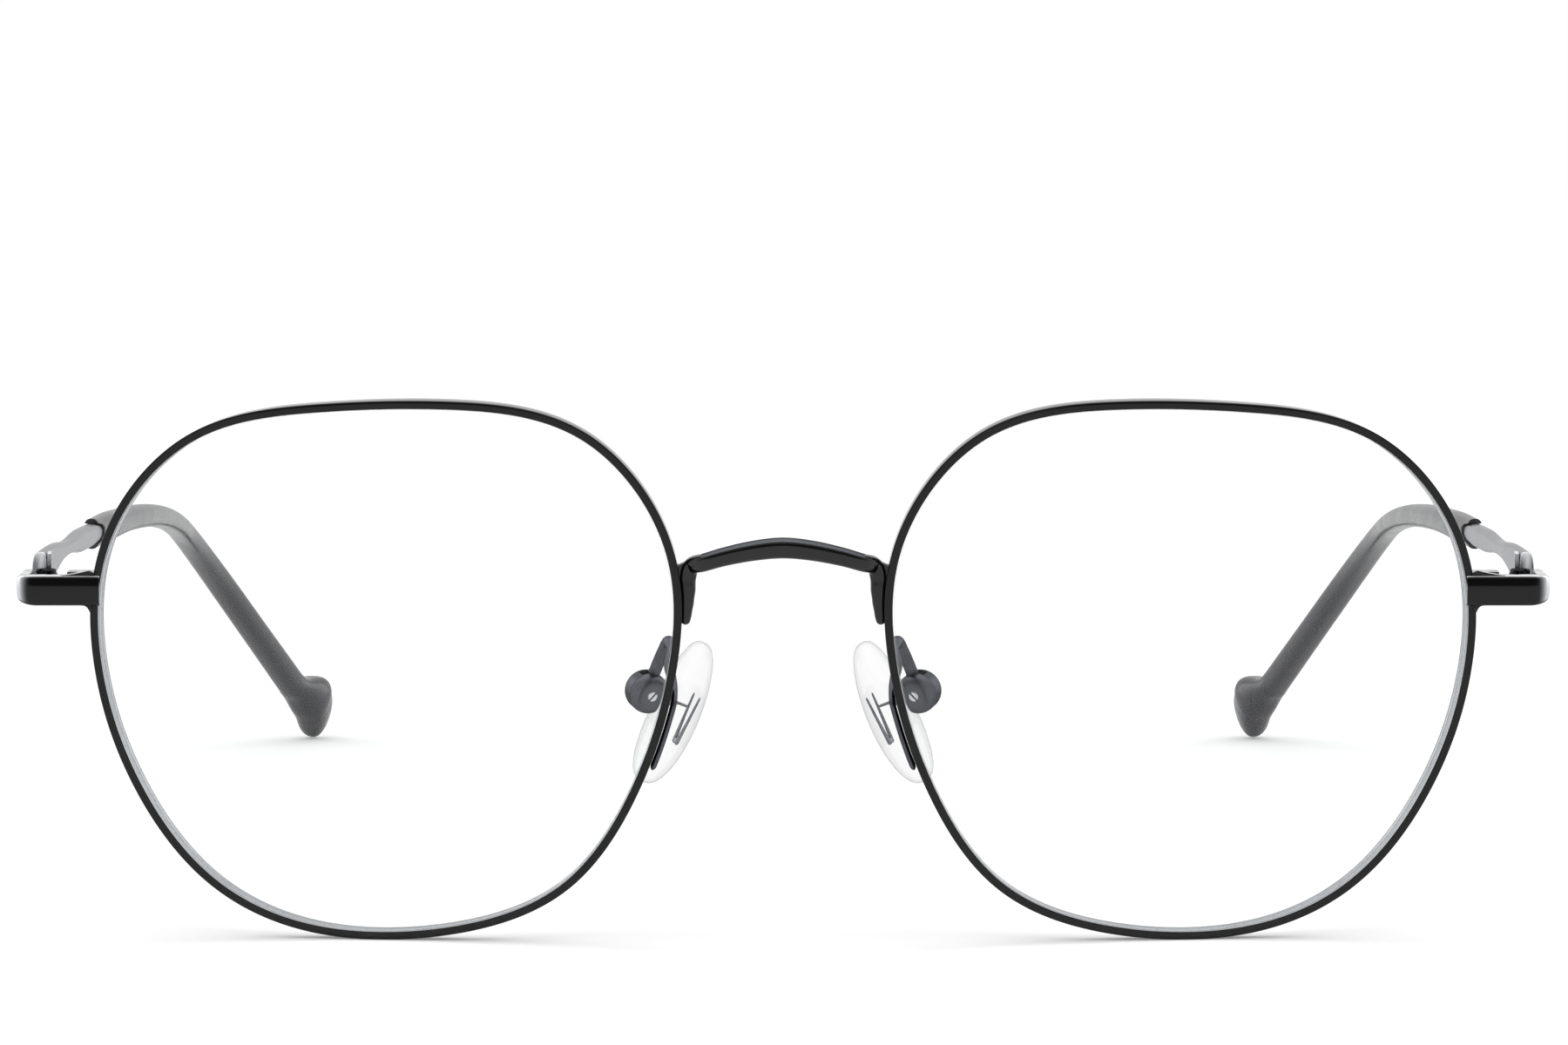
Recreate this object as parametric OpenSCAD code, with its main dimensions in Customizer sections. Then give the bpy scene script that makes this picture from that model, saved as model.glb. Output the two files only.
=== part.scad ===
// Geometric wire-rim eyeglasses, standing open on the lower rims and the temple tips.
// X runs across the front, Y from the front back to the temple tips, Z up.
// Sides are the wearer's: the right side lies at negative X.

/* [Lenses] */
// Boxed width of one lens
lens_w = 51; // [46:0.5:56]
// Boxed height of one lens
lens_h = 46.8; // [43:0.2:50]
// Gap between the two lenses at the nose
lens_gap = 18.6; // [17:0.2:21]
// Thickness of the clear lens
lens_t = 1.6; // [1.4:0.1:1.8]
// Radius of the lens surfaces
lens_curve = 125; // [100:5:200]
// Angle that each lens turns back towards the temple
wrap = 5; // [3:0.5:7]
// Angle that the front leans forward at its top
lean = 3; // [1:0.5:5]

/* [Rims] */
// Depth of the rim wire from front to back
rim_depth = 2; // [1.9:0.1:2.4]
// Rim wall outside the lens edge
rim_wall = 0.4; // [0.35:0.05:0.6]
// How far the rim laps over the lens face
rim_lip = 0.35; // [0.3:0.05:0.45]
// Gap between the two ends of a rim at its lock
rim_split = 0.3; // [0.2:0.05:0.5]

/* [End pieces and hinges] */
// Reach of each end piece beyond the lens
end_out = 6.8; // [6.2:0.1:9.6]
// Height of the end pieces
end_h = 2.7; // [2.5:0.1:3.2]
// Thickness of the end piece strip
end_t = 1.2; // [1:0.05:1.3]
// Thickness of the lap of the end piece over the rim
end_lap_t = 0.4; // [0.3:0.05:0.6]
// Distance from the front face of the end piece back to the hinge axis
end_reach = 6; // [5.6:0.2:7.4]
// Outer radius of the end piece corner
end_corner = 2; // [1.6:0.1:2.6]
// Height of the hinge above the centre of the lens
hinge_up = 6.7; // [5:0.1:8]
// Radius of the hinge barrels
barrel_r = 1; // [0.85:0.05:1.05]
// Height of the middle barrel, on the temple
barrel_h = 0.8; // [0.6:0.05:1]
// Radius of the hinge screw
hinge_screw_r = 0.45; // [0.35:0.05:0.5]

/* [Temples] */
// Length from the hinge to the end of the tip
temple_len = 145.5; // [142:0.5:150]
// Step from the outer face of the end piece in to the outer face of the temple
temple_inset = 0.8; // [0.4:0.1:1]
// Angle at which the temples turn inwards from the hinge
temple_in = 3.9; // [2:0.1:5]
// Height of the temple's line above the middle of the hinge
temple_up = 1.9; // [1:0.1:2.1]
// Radius of the gentle bow down towards the ear
bow_r = 370; // [300:10:460]
// Share of that bow that turns inwards, as an angle
bow_inward = -26; // [-30:1:0]
// Length from the hinge to the start of the ear bend
bend_at = 97.5; // [94:0.5:99]
// Radius of the ear bend
bend_r = 34; // [28:1:38]
// Angle of the ear bend
bend_angle = 38; // [34:1:40]
// Share of the ear bend that turns inwards, as an angle
bend_inward = 34; // [26:1:38]
// Thickness of the metal temple at the hinge
bar_t = 1.3; // [1.1:0.05:1.4]
// Height of the metal temple at the hinge
root_h = 3.8; // [3.4:0.1:4.2]
// Height of the waist of the metal temple
waist_h = 1.2; // [1:0.1:1.6]
// Distance from the hinge to the waist
waist_at = 15; // [14:0.5:17]
// Height of the flared end of the metal temple
flare_h = 2.4; // [2.2:0.1:2.5]
// Distance from the hinge to the start of the rounded tongue
tongue_at = 22; // [20:0.5:26]
// Length of the rounded tongue that the tip grips
tongue_l = 9.5; // [8:0.5:12]
// Distance from the hinge to the end of the core wire
core_end = 130; // [127:1:131]
// Height of the temple tip at its mouth
tip_h = 2.8; // [2.7:0.1:3.2]
// Thickness of the temple tip
tip_t = 2.4; // [2.2:0.1:2.8]

/* [Bridge] */
// Height of the bridge bar at its middle
bridge_bar_h = 1.8; // [1.4:0.1:2.2]
// Depth of the bridge bar
bridge_bar_d = 1.5; // [1.2:0.1:1.8]
// Height of the bridge bar above the lens centre at the middle
bridge_up = 11.3; // [9:0.1:13]
// Rise of the bridge arch
bridge_rise = 1.3; // [0.6:0.1:2.5]
// Width of the bridge foot at its top
foot_w = 1.4; // [1.2:0.1:1.9]

/* [Nose pads] */
// Length of a nose pad
pad_l = 13.6; // [12:0.2:15]
// Width of a nose pad
pad_w = 7.8; // [6.5:0.1:8.5]
// Thickness of a nose pad
pad_t = 2.6; // [2.3:0.1:2.8]
// Distance between the pad screws
pad_span = 24; // [24:0.2:25.4]
// Distance of the pad screws behind the lens vertex
pad_back = 8.6; // [8.2:0.1:9.6]
// Height of the pad screws, counted down from the lens centre
pad_down = 3; // [2.4:0.1:3.6]
// Angle of the pads from upright, seen from the front
pad_tilt = 25; // [22:1:28]
// Angle of the pads from straight ahead, seen from above
pad_splay = 24; // [18:1:26]
// Diameter of the pad arm wire
arm_d = 1.1; // [0.9:0.05:1.3]
// Radius of the pad screw
pad_screw_r = 0.35; // [0.3:0.01:0.4]

/* [Hidden] */
$fn = 48;

// Clearances: a brazed or seated joint, and a part that turns on another
seat = 0.03;
run = 0.05;

// The lens outline is a polygon, softened by a cubic B-spline. Its corners are
// shares of half the lens width and height, the nose side first.
corners = [
    [1, -0.01], [1.03, 0.48], [0.71, 0.955], [0.24, 1.01], [-0.23, 0.99],
    [-0.69, 0.92], [-1.01, 0.48], [-1.01, -0.01], [-0.89, -0.43], [-0.64, -0.84],
    [-0.25, -1.03], [0.25, -1.01], [0.66, -0.85], [0.89, -0.41]
];
corner_count = len(corners);
rim_steps = 84;

function bspline_weights(u) =
    [pow(1 - u, 3), 3 * pow(u, 3) - 6 * u * u + 4, -3 * pow(u, 3) + 3 * u * u + 3 * u + 1, pow(u, 3)] / 6;
function wrapped(i) = (i % corner_count + corner_count) % corner_count;
function raw_outline(t) =
    let (k = floor(t), w = bspline_weights(t - k))
    w[0] * corners[wrapped(k - 1)] + w[1] * corners[wrapped(k)]
    + w[2] * corners[wrapped(k + 1)] + w[3] * corners[wrapped(k + 2)];

raw_points = [for (i = [0 : rim_steps - 1]) raw_outline(i * corner_count / rim_steps)];
raw_x = [for (p = raw_points) p.x];
raw_z = [for (p = raw_points) p.y];
raw_mid = [max(raw_x) + min(raw_x), max(raw_z) + min(raw_z)] / 2;
raw_scale = [lens_w / (max(raw_x) - min(raw_x)), lens_h / (max(raw_z) - min(raw_z))];

// A point of the lens outline, [across, up], and the direction that points out of it
function outline(t) =
    let (p = raw_outline(t) - raw_mid)
    [p.x * raw_scale.x, p.y * raw_scale.y];
function outward(t) =
    let (d = outline(t + 0.02) - outline(t - 0.02))
    [d.y, -d.x] / norm(d);

// Halving search for the outline parameter at height z, where the outline falls from lo to hi
function outline_at(z, lo, hi, n = 24) =
    let (mid = (lo + hi) / 2)
    n == 0 ? mid
    : outline(mid).y > z ? outline_at(z, mid, hi, n - 1) : outline_at(z, lo, mid, n - 1);

temple_side_top = 5;
temple_side_foot = 9;
nose_side_top = 2;
nose_side_foot = -2;

// How far the lens surface lies behind its vertex
function sag(p) = lens_curve - sqrt(lens_curve * lens_curve - p.x * p.x - p.y * p.y);

// A point of the rim, out from the lens edge and back from its middle, in the lens's own frame
function rim_point(t, out, back) =
    let (p = outline(t), n = outward(t))
    [p.x + n.x * out, sag(p) + back, p.y + n.y * out];

// From the right lens's own frame to the front's frame, whose height is counted from the lens centre
lens_x = (lens_w + lens_gap) / 2;
function lens_to_front(p) =
    [p.x * cos(wrap) + p.y * sin(wrap) - lens_x, -p.x * sin(wrap) + p.y * cos(wrap), p.z];
function front_rim(t, out, back) = lens_to_front(rim_point(t, out, back));

// The rim is split where the end piece meets it, and the front leans about that place
lock_t = outline_at(hinge_up, temple_side_top, temple_side_foot);
lock_point = front_rim(lock_t, rim_wall, 0);
lean_y = lock_point.y;

// Rim section, [out, back], with rounded edges outside and a V groove for the lens inside
groove_half = 0.45;
rim_section = [
    [run, 0], [-rim_lip, -groove_half],
    [-rim_lip, 0.25 - rim_depth / 2], [0.15 - rim_lip, -rim_depth / 2],
    [rim_wall - 0.2, -rim_depth / 2], [rim_wall, 0.3 - rim_depth / 2],
    [rim_wall, rim_depth / 2 - 0.3], [rim_wall - 0.2, rim_depth / 2],
    [0.15 - rim_lip, rim_depth / 2], [-rim_lip, rim_depth / 2 - 0.25],
    [-rim_lip, groove_half]
];

// Height of the lens centre above the floor: the lowest point of the leaning rims touches it
function leaned(p) =
    [p.x, lean_y + (p.y - lean_y) * cos(lean) - (p.z - hinge_up) * sin(lean),
     hinge_up + (p.z - hinge_up) * cos(lean) + (p.y - lean_y) * sin(lean)];
stand_h = -min([
    for (i = [0 : rim_steps - 1], q = rim_section)
        leaned(front_rim(i * corner_count / rim_steps, q.x, q.y)).z
]);
hinge_z = stand_h + hinge_up;

// Front and outer side of the rim, over the height at which the end piece laps over it
lap_heights = [for (i = [-3 : 3]) hinge_up + i * end_h / 6];
function lap_side(z, out, back) = leaned(front_rim(outline_at(z, temple_side_top, temple_side_foot), out, back));
lap_y = min([for (z = lap_heights, out = [-rim_lip, rim_wall]) lap_side(z, out, -rim_depth / 2).y]) - seat;
rim_side_x = min([for (z = lap_heights, back = [-rim_depth / 2, 0, rim_depth / 2]) lap_side(z, rim_wall, back).x]);

// Places in the row that the end piece, the hinge and the temple share
front_face_y = lap_y - end_lap_t;
hinge_y = front_face_y + end_reach;
front_w = 2 * lens_w + lens_gap + 2 * end_out;
outer_x = front_w / 2;
hinge_x = outer_x - end_t - barrel_r - run;
bar_x = outer_x - temple_inset - bar_t / 2;

// The end piece ends just behind the barrels, and the temple starts there
butt_at = barrel_r + run;
butt_gap = 0.15;

// The temple's line, in its own frame: a straight shank, a bow down, the ear bend and the drop
function unit(v) = v / norm(v);
function arc_point(start, dir, side, r, a) = start + r * (dir * sin(a) + side * (1 - cos(a)));
function arc_dir(dir, side, a) = dir * cos(a) + side * sin(a);
bow_at = tongue_at + tongue_l + 0.5;
shank_dir = [sin(temple_in), cos(temple_in), 0];
bow_start = shank_dir * bow_at;
bow_side = [cos(temple_in), -sin(temple_in), 0] * sin(bow_inward) - [0, 0, cos(bow_inward)];
bow_turn = (bend_at - bow_at) / bow_r * 180 / PI;
bend_start = arc_point(bow_start, shank_dir, bow_side, bow_r, bow_turn);
bend_dir = arc_dir(shank_dir, bow_side, bow_turn);
bend_across = unit(cross(bend_dir, [0, 0, 1]));
bend_side = bend_across * sin(bend_inward) - cross(bend_across, bend_dir) * cos(bend_inward);
bend_end = bend_at + bend_angle * PI / 180 * bend_r;
drop_start = arc_point(bend_start, bend_dir, bend_side, bend_r, bend_angle);
drop_dir = arc_dir(bend_dir, bend_side, bend_angle);
function bow_angle(s) = (s - bow_at) / bow_r * 180 / PI;
function bend_turned(s) = min(bend_angle, (s - bend_at) / bend_r * 180 / PI);
function temple_point(s) =
    s < bow_at ? shank_dir * s
    : s < bend_at ? arc_point(bow_start, shank_dir, bow_side, bow_r, bow_angle(s))
    : s < bend_end ? arc_point(bend_start, bend_dir, bend_side, bend_r, bend_turned(s))
    : drop_start + drop_dir * (s - bend_end);
function temple_dir(s) =
    s < bow_at ? shank_dir
    : s < bend_at ? arc_dir(shank_dir, bow_side, bow_angle(s))
    : arc_dir(bend_dir, bend_side, bend_turned(s));

// A ring of section points around the temple's line at s. Each section point is [up, inward].
function temple_ring(s, section) =
    let (p = temple_point(s), d = temple_dir(s), side = unit(cross(d, [0, 0, 1])), up = cross(side, d))
    [for (q = section) p + up * q.x + side * q.y];

// A rounded section with n points: half sizes a and b, and a power that squares it up
function rounded(n, a, b, power = 2, shift = [0, 0]) =
    [for (i = [0 : n - 1])
        let (c = cos(360 * i / n), s = sin(360 * i / n))
        [a * sign(c) * pow(abs(c), 2 / power), b * sign(s) * pow(abs(s), 2 / power)] + shift];

// Value at s from a table of [s, value] rows, eased between the rows
function eased(table, s, i = 0) =
    s <= table[0][0] ? table[0][1]
    : i >= len(table) - 1 ? table[len(table) - 1][1]
    : s <= table[i + 1][0]
        ? let (u = (s - table[i][0]) / (table[i + 1][0] - table[i][0]))
          table[i][1] + (table[i + 1][1] - table[i][1]) * u * u * (3 - 2 * u)
    : eased(table, s, i + 1);

// Metal temple: full height at the hinge, a waist, a flare, a rounded tongue and the core wire
core_h = 1.2;
core_t = 0.9;
tongue_power = 3.5;
function tongue_height(s) =
    flare_h * pow(max(0, 1 - pow((s - tongue_at) / tongue_l, tongue_power)), 1 / tongue_power);
tongue_end = tongue_at + tongue_l * pow(1 - pow(core_h / flare_h, tongue_power), 1 / tongue_power);
function bar_height(s) =
    s < tongue_at ? eased([[0, root_h], [waist_at, waist_h], [tongue_at, flare_h]], s)
    : max(core_h, tongue_height(s));
function bar_shift(s) = eased([[0, (root_h - end_h) / 2 + 0.2 - temple_up], [waist_at - 3, 0]], s);
function bar_thickness(s) = eased([[tongue_end, bar_t], [tongue_end + 3, core_t]], s);
bar_stations = concat(
    [butt_at + butt_gap], [for (i = [2 : 14]) tongue_at * i / 14],
    [for (i = [1 : 6]) tongue_at + (tongue_end - tongue_at) * sin(15 * i)],
    [tongue_end + 3], [for (i = [1 : 8]) tongue_end + 3 + (bend_at - tongue_end - 3) * i / 8],
    [for (i = [1 : 4]) bend_at + (bend_end - bend_at) * i / 4],
    [for (i = [1 : 2]) bend_end + (core_end - bend_end) * i / 2]
);

// Temple tip: its half height and half thickness, and how far its bulb swells up and inwards
mouth_at = tongue_at + 7;
bulb_at = temple_len - 10;
tip_height = [[mouth_at, tip_h], [tongue_at + tongue_l + 1, tip_h - 0.1], [mouth_at + 22, tip_h - 0.5],
              [bend_at - 4, tip_h - 0.7], [bend_end + 4, tip_h - 0.2], [bulb_at + 1.5, tip_h],
              [bulb_at + 5, tip_h + 2.3], [bulb_at + 7.3, tip_h + 1.8], [temple_len, 1]];
tip_thickness = [[mouth_at, tip_t], [bend_at, tip_t], [bulb_at, tip_t + 0.3],
                 [bulb_at + 5, tip_t + 1.7], [bulb_at + 7.3, tip_t + 1.2], [temple_len, 0.9]];
bulb_up = [[bulb_at + 1, 0], [bulb_at + 5, 1], [temple_len, -0.3]];
bulb_in = [[bulb_at, 0], [bulb_at + 5, 0.15], [temple_len, -0.9]];
tip_stations = concat(
    [for (i = [0 : 10]) mouth_at + (bend_at - mouth_at) * i / 10],
    [for (i = [1 : 5]) bend_at + (bend_end - bend_at) * i / 5],
    [for (i = [1 : 4]) bend_end + (bulb_at - bend_end) * i / 4],
    [for (i = [1 : 8]) bulb_at + 7 * i / 8],
    [for (i = [1 : 4]) bulb_at + 7 + 3 * sin(22.5 * i)]
);
function tip_ring(s) =
    temple_ring(s, rounded(12, eased(tip_height, s) / 2, eased(tip_thickness, s) / 2, 2.6,
                           [eased(bulb_up, s), eased(bulb_in, s)]));
tip_rings = [for (s = tip_stations) tip_ring(s)];

// Slope of the temples at which their bulbs touch the floor, found in a few steps
function sloped(p, slope) = [p.x, p.y * cos(slope) + p.z * sin(slope), p.z * cos(slope) - p.y * sin(slope)];
function lowest(slope) = min([for (ring = tip_rings, p = ring) sloped(p, slope).z]);
function settled(slope, n) =
    n == 0 ? slope : settled(slope + (hinge_z + temple_up + lowest(slope)) / temple_len * 180 / PI, n - 1);
slope = settled(0.5, 6);

// Bridge: a foot along each rim, a turn forwards, and the arched bar
foot_back = 0.25;
foot_top = 8.4;
foot_end = 4.3;
foot_steps = 4;
function foot_width(z) = foot_w * (0.45 + 0.55 * (z - foot_end) / (foot_top - foot_end));
function bridge_foot(z) =
    front_rim(outline_at(z, nose_side_top, nose_side_foot), rim_wall + seat + foot_width(z) / 2, foot_back);
bar_end_up = bridge_up - bridge_rise;
foot_head = bridge_foot(foot_top);
half_bridge = concat(
    [for (i = [0 : foot_steps]) bridge_foot(foot_end + (foot_top - foot_end) * i / foot_steps)],
    [[foot_head.x + 0.45, foot_head.y - 0.35, bar_end_up - 0.5],
     [foot_head.x + 1.5, -0.55, bar_end_up],
     [foot_head.x * 0.6, -0.95, bridge_up - bridge_rise * 0.38],
     [foot_head.x * 0.3, -1.1, bridge_up - bridge_rise * 0.1]]
);
half_count = len(half_bridge);
bridge_path = concat(
    half_bridge, [[0, -1.15, bridge_up]],
    [for (i = [half_count - 1 : -1 : 0]) [-half_bridge[i].x, half_bridge[i].y, half_bridge[i].z]]
);

// A smooth curve through the points of a path, and its rings
function along(path, t) =
    let (i = min(len(path) - 2, floor(t)), u = t - i, b = path[i], c = path[i + 1],
         a = i > 0 ? path[i - 1] : 2 * b - c, d = i < len(path) - 2 ? path[i + 2] : 2 * c - b)
    (2 * b + (c - a) * u + (2 * a - 5 * b + 4 * c - d) * u * u + (3 * b - a - 3 * c + d) * u * u * u) / 2;
function path_ring(path, t, section) =
    let (end = len(path) - 1, d = unit(along(path, min(end, t + 0.05)) - along(path, max(0, t - 0.05))),
         back = unit([0, 1, 0] - d * d.y), side = cross(back, d), p = along(path, t))
    [for (q = section) p + side * q.x + back * q.y];

// Bridge section at step t of its path: the foot's width, then the bar's height
bridge_width = concat(
    [for (i = [0 : foot_steps]) [i, foot_width(foot_end + (foot_top - foot_end) * i / foot_steps)]],
    [[foot_steps + 1, 1.6], [foot_steps + 2, bridge_bar_h - 0.3], [half_count, bridge_bar_h]]
);
bridge_end = len(bridge_path) - 1;
bridge_rings = [
    for (i = [0 : 3 * bridge_end])
        let (t = i / 3, s = min(t, bridge_end - t), tip = s < 0.3 ? 0.55 : 1)
        path_ring(bridge_path, t, rounded(10, eased(bridge_width, s) / 2 * tip, bridge_bar_d / 2 * tip, 3))
];

// Nose pads: where a pad's screw lies, and the arm that reaches it from the rim
pad_centre = [-pad_span / 2, pad_back, -pad_down];
pad_out = 3.4;
pad_drop = 0.9;
box_r = 1.85;
box_front = 1.1;
tab_r = 0.8;
tab_t = 1.3;
arm_foot_low = -8.3;
arm_foot_high = -2.4;
arm_foot_t = 0.55;
function arm_foot(z) =
    front_rim(outline_at(z, nose_side_top, nose_side_foot), rim_wall + seat + arm_foot_t / 2, 0.45);
arm_head = arm_foot(arm_foot_high);
arm_end = pad_centre + unit([0.8, -0.4, 2.1]) * (box_r + seat);
arm_path = concat(
    [for (i = [0 : 4]) arm_foot(arm_foot_low + (arm_foot_high - arm_foot_low) * i / 4)],
    [arm_head + [-0.02, 1.3, 1], arm_head + [-0.4, 2.7, 2.6]],
    [for (p = [[2.35, -3.8, 4.4], [1.95, -2.65, 4.85], [1.5, -1.7, 3.9], [1.1, -0.95, 2.9]]) pad_centre + p],
    [arm_end]
);
arm_steps = len(arm_path) - 1;
arm_rings = [
    for (i = [0 : 3 * arm_steps])
        let (t = i / 3, flat = eased([[4.5, arm_foot_t / arm_d], [6.5, 1]], t), tip = i == 0 ? 0.6 : 1)
        path_ring(arm_path, t, rounded(8, arm_d / 2 * flat * tip, arm_d / 2 * tip, 2.2))
];

// The row's origin is midway between the front of the bridge and the back of the tips
front_most = min([for (ring = bridge_rings, p = ring) leaned(p).y]);
rear_most = hinge_y + max([for (ring = tip_rings, p = ring) sloped(p, slope).y]);
mid_y = (front_most + rear_most) / 2;

metal_black = "#1a1a1c";
gunmetal = "#8d8e92";
dark_gunmetal = "#505155";
screw_steel = "#8f9094";
tip_charcoal = "#3a3a3d";
clear = [0.9, 0.94, 0.96, 0.3];

// A closed skin over rings of points that run right-handed about the way from first to last.
// loop joins the last ring to the first, and a start or end point closes it with a fan.
module skin(rings, loop = false, start = undef, end = undef) {
    n = len(rings[0]);
    m = len(rings);
    extra = concat(start == undef ? [] : [start], end == undef ? [] : [end]);
    end_index = m * n + (start == undef ? 0 : 1);
    polyhedron(
        points = concat([for (ring = rings, p = ring) p], extra),
        faces = concat(
            [for (i = [0 : m - (loop ? 1 : 2)], j = [0 : n - 1])
                let (a = i * n + j, b = i * n + (j + 1) % n, c = (i + 1) % m * n + (j + 1) % n,
                     d = (i + 1) % m * n + j)
                each [[a, c, b], [a, d, c]]],
            loop ? [] : start == undef ? [[for (j = [0 : n - 1]) j]]
                : [for (j = [0 : n - 1]) [m * n, j, (j + 1) % n]],
            loop ? [] : end == undef ? [[for (j = [0 : n - 1]) (m - 1) * n + (n - j) % n]]
                : [for (j = [0 : n - 1]) [end_index, (m - 1) * n + (j + 1) % n, (m - 1) * n + j]]
        )
    );
}

// Frames: the row, the leaning front, the right lens, the hinge, the temple and the pad
module in_row() {
    translate([0, -mid_y, 0]) children();
}
module in_front() {
    in_row() translate([0, lean_y, hinge_z]) rotate([lean, 0, 0]) translate([0, -lean_y, -hinge_up])
        children();
}
module at_lens() {
    in_front() translate([-lens_x, 0, 0]) rotate([0, 0, -wrap]) children();
}
module at_lock() {
    in_row() translate([lock_point.x, lean_y, hinge_z]) children();
}
module at_hinge() {
    in_row() translate([-hinge_x, hinge_y, hinge_z]) children();
}
module at_temple() {
    in_row() translate([-bar_x, hinge_y, hinge_z + temple_up]) rotate([-slope, 0, 0]) children();
}
module at_shank() {
    at_temple() rotate([0, 0, -temple_in]) children();
}
module at_pad() {
    in_front() translate(pad_centre) rotate([0, pad_tilt, 0]) rotate([0, 0, pad_splay]) children();
}
module left() {
    mirror([1, 0, 0]) children();
}

module rim() {
    span = rim_split / 2 / norm(outline(lock_t + 0.5) - outline(lock_t - 0.5));
    color(metal_black) at_lens()
        skin([for (i = [0 : rim_steps])
            let (t = lock_t + span + (corner_count - 2 * span) * i / rim_steps)
            [for (q = rim_section) rim_point(t, q.x, q.y)]]);
}

module lens() {
    bevel = rim_lip + run;
    edge = [[-bevel, lens_t / 2], [-bevel, 0.9 * groove_half], [0, 0],
            [-bevel, -0.9 * groove_half], [-bevel, -lens_t / 2]];
    function face_ring(share, back) = [
        for (i = [0 : rim_steps - 1])
            let (q = rim_point(ring_t(i), -bevel, 0), p = share * [q.x, q.z])
            [p.x, sag(share == 1 ? outline(ring_t(i)) : p) + back, p.y]
    ];
    function ring_t(i) =
        lock_t + (corner_count) * i / rim_steps;
    color(clear) at_lens()
        skin(concat(
            [for (share = [0.35, 0.7]) face_ring(share, lens_t / 2)],
            [for (q = edge) [for (i = [0 : rim_steps - 1]) rim_point(ring_t(i), q.x, q.y)]],
            [for (share = [0.7, 0.35]) face_ring(share, -lens_t / 2)]
        ), start = [0, lens_t / 2, 0], end = [0, -lens_t / 2, 0]);
}

// Closing block of the rim: a half above and a half below the split, drawn together by a screw
lock_w = 2.3;
lock_d = 2;
lock_half_h = 1.3;
lock_screw_r = 0.5;
lock_head_r = 0.75;
lock_head_h = 0.4;
lock_back = 0.3;
lock_low = -rim_split / 2 - lock_half_h;
module lock_screw_place() {
    translate([-seat - lock_w / 2, lock_back + seat + lock_d / 2, 0]) children();
}
module lock_half(up) {
    color(metal_black) at_lock() difference() {
        translate([-run - lock_w, lock_back + seat, up ? rim_split / 2 : lock_low])
            cube([lock_w, lock_d, lock_half_h]);
        lock_screw_place() cylinder(r = lock_screw_r + (up ? seat : run), h = 4 * lock_half_h, center = true);
        lock_screw_place() translate([0, 0, lock_low - 1]) cylinder(r = lock_head_r + run, h = 1 + lock_head_h + seat);
    }
}
module lock_screw() {
    color(screw_steel) at_lock() lock_screw_place() translate([0, 0, lock_low]) {
        cylinder(r = lock_head_r, h = lock_head_h);
        translate([0, 0, lock_head_h - seat]) cylinder(r = lock_screw_r, h = 2 * lock_half_h + rim_split - lock_head_h);
    }
}

module bridge() {
    color(metal_black) in_front() skin(bridge_rings);
}

// Section of the end piece strip with rounded edges, [in from the face, up]
end_round = 0.55;
module strip_section() {
    translate([end_round, -end_h / 2]) square([end_t - end_round, end_h]);
    translate([0, end_round - end_h / 2]) square([end_t, end_h - 2 * end_round]);
    for (z = [-1, 1]) translate([end_round, z * (end_h / 2 - end_round)]) circle(r = end_round);
}
module end_piece() {
    wall = outer_x + rim_side_x - seat;
    lap = outer_x + lock_point.x + (rim_wall + rim_lip) * 0.8;
    side_leg = end_reach + butt_at - end_corner;
    color(metal_black) in_row() translate([-outer_x, front_face_y, hinge_z]) {
        translate([end_corner, end_corner, 0]) rotate([0, 0, 180])
            rotate_extrude(angle = 90) translate([end_corner, 0]) mirror([1, 0]) strip_section();
        translate([end_corner, 0, 0]) rotate([90, 0, 90]) linear_extrude(wall - end_corner) strip_section();
        translate([end_corner, 0, 0]) rotate([90, 0, 90]) linear_extrude(lap - end_corner) intersection() {
            strip_section();
            translate([-end_h, -end_h]) square([end_h + end_lap_t, 2 * end_h]);
        }
        translate([0, end_corner + side_leg, 0]) rotate([90, 0, 0]) linear_extrude(side_leg) strip_section();
    }
}

// Hinge: two barrels on the end piece, one on the temple, and the screw through them
front_leaf_t = 0.6;
front_leaf_l = 3.2;
temple_leaf_t = 0.35;
temple_leaf_l = 9.2;
leaf_back = 0.2;
leaf_foot = [temple_leaf_l - 1.2, 3.7, 2.6];
screw_head_h = 0.35;
stack_low = -end_h / 2;
stack_high = end_h / 2 - screw_head_h - seat;
stack_mid = (stack_low + stack_high) / 2;
outer_barrel_h = (stack_high - stack_low - barrel_h) / 2 - run;
leaf_start = butt_at + butt_gap;
leaf_in = hinge_x - bar_x + bar_t / 2 + seat;

// Outline of the temple's hinge leaf, [back from the hinge, up from the temple's line]
leaf_outline = [
    [leaf_start + leaf_back, -temple_up - 0.7], [leaf_start + leaf_back, 0.6], [leaf_start + leaf_back + 0.4, 0.82],
    [5, 0.85], [temple_leaf_l - 1.7, 0.5], [temple_leaf_l, 0.05], [leaf_foot[0], -0.15],
    [leaf_foot[1], -0.7], [leaf_foot[2], -1.3], [leaf_foot[2] - 0.2, -temple_up - 0.7]
];
module hinge_front() {
    color(metal_black) at_hinge() difference() {
        union() {
            for (z = [stack_low, stack_high - outer_barrel_h]) translate([0, 0, z]) {
                cylinder(r = barrel_r, h = outer_barrel_h);
                translate([-barrel_r, -leaf_start, 0]) cube([barrel_r, leaf_start, outer_barrel_h]);
            }
            translate([-barrel_r, -front_leaf_l, stack_low])
                cube([front_leaf_t, front_leaf_l - leaf_start + seat, stack_high - stack_low]);
        }
        cylinder(r = hinge_screw_r + seat, h = 2 * end_h, center = true);
    }
}
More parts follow.
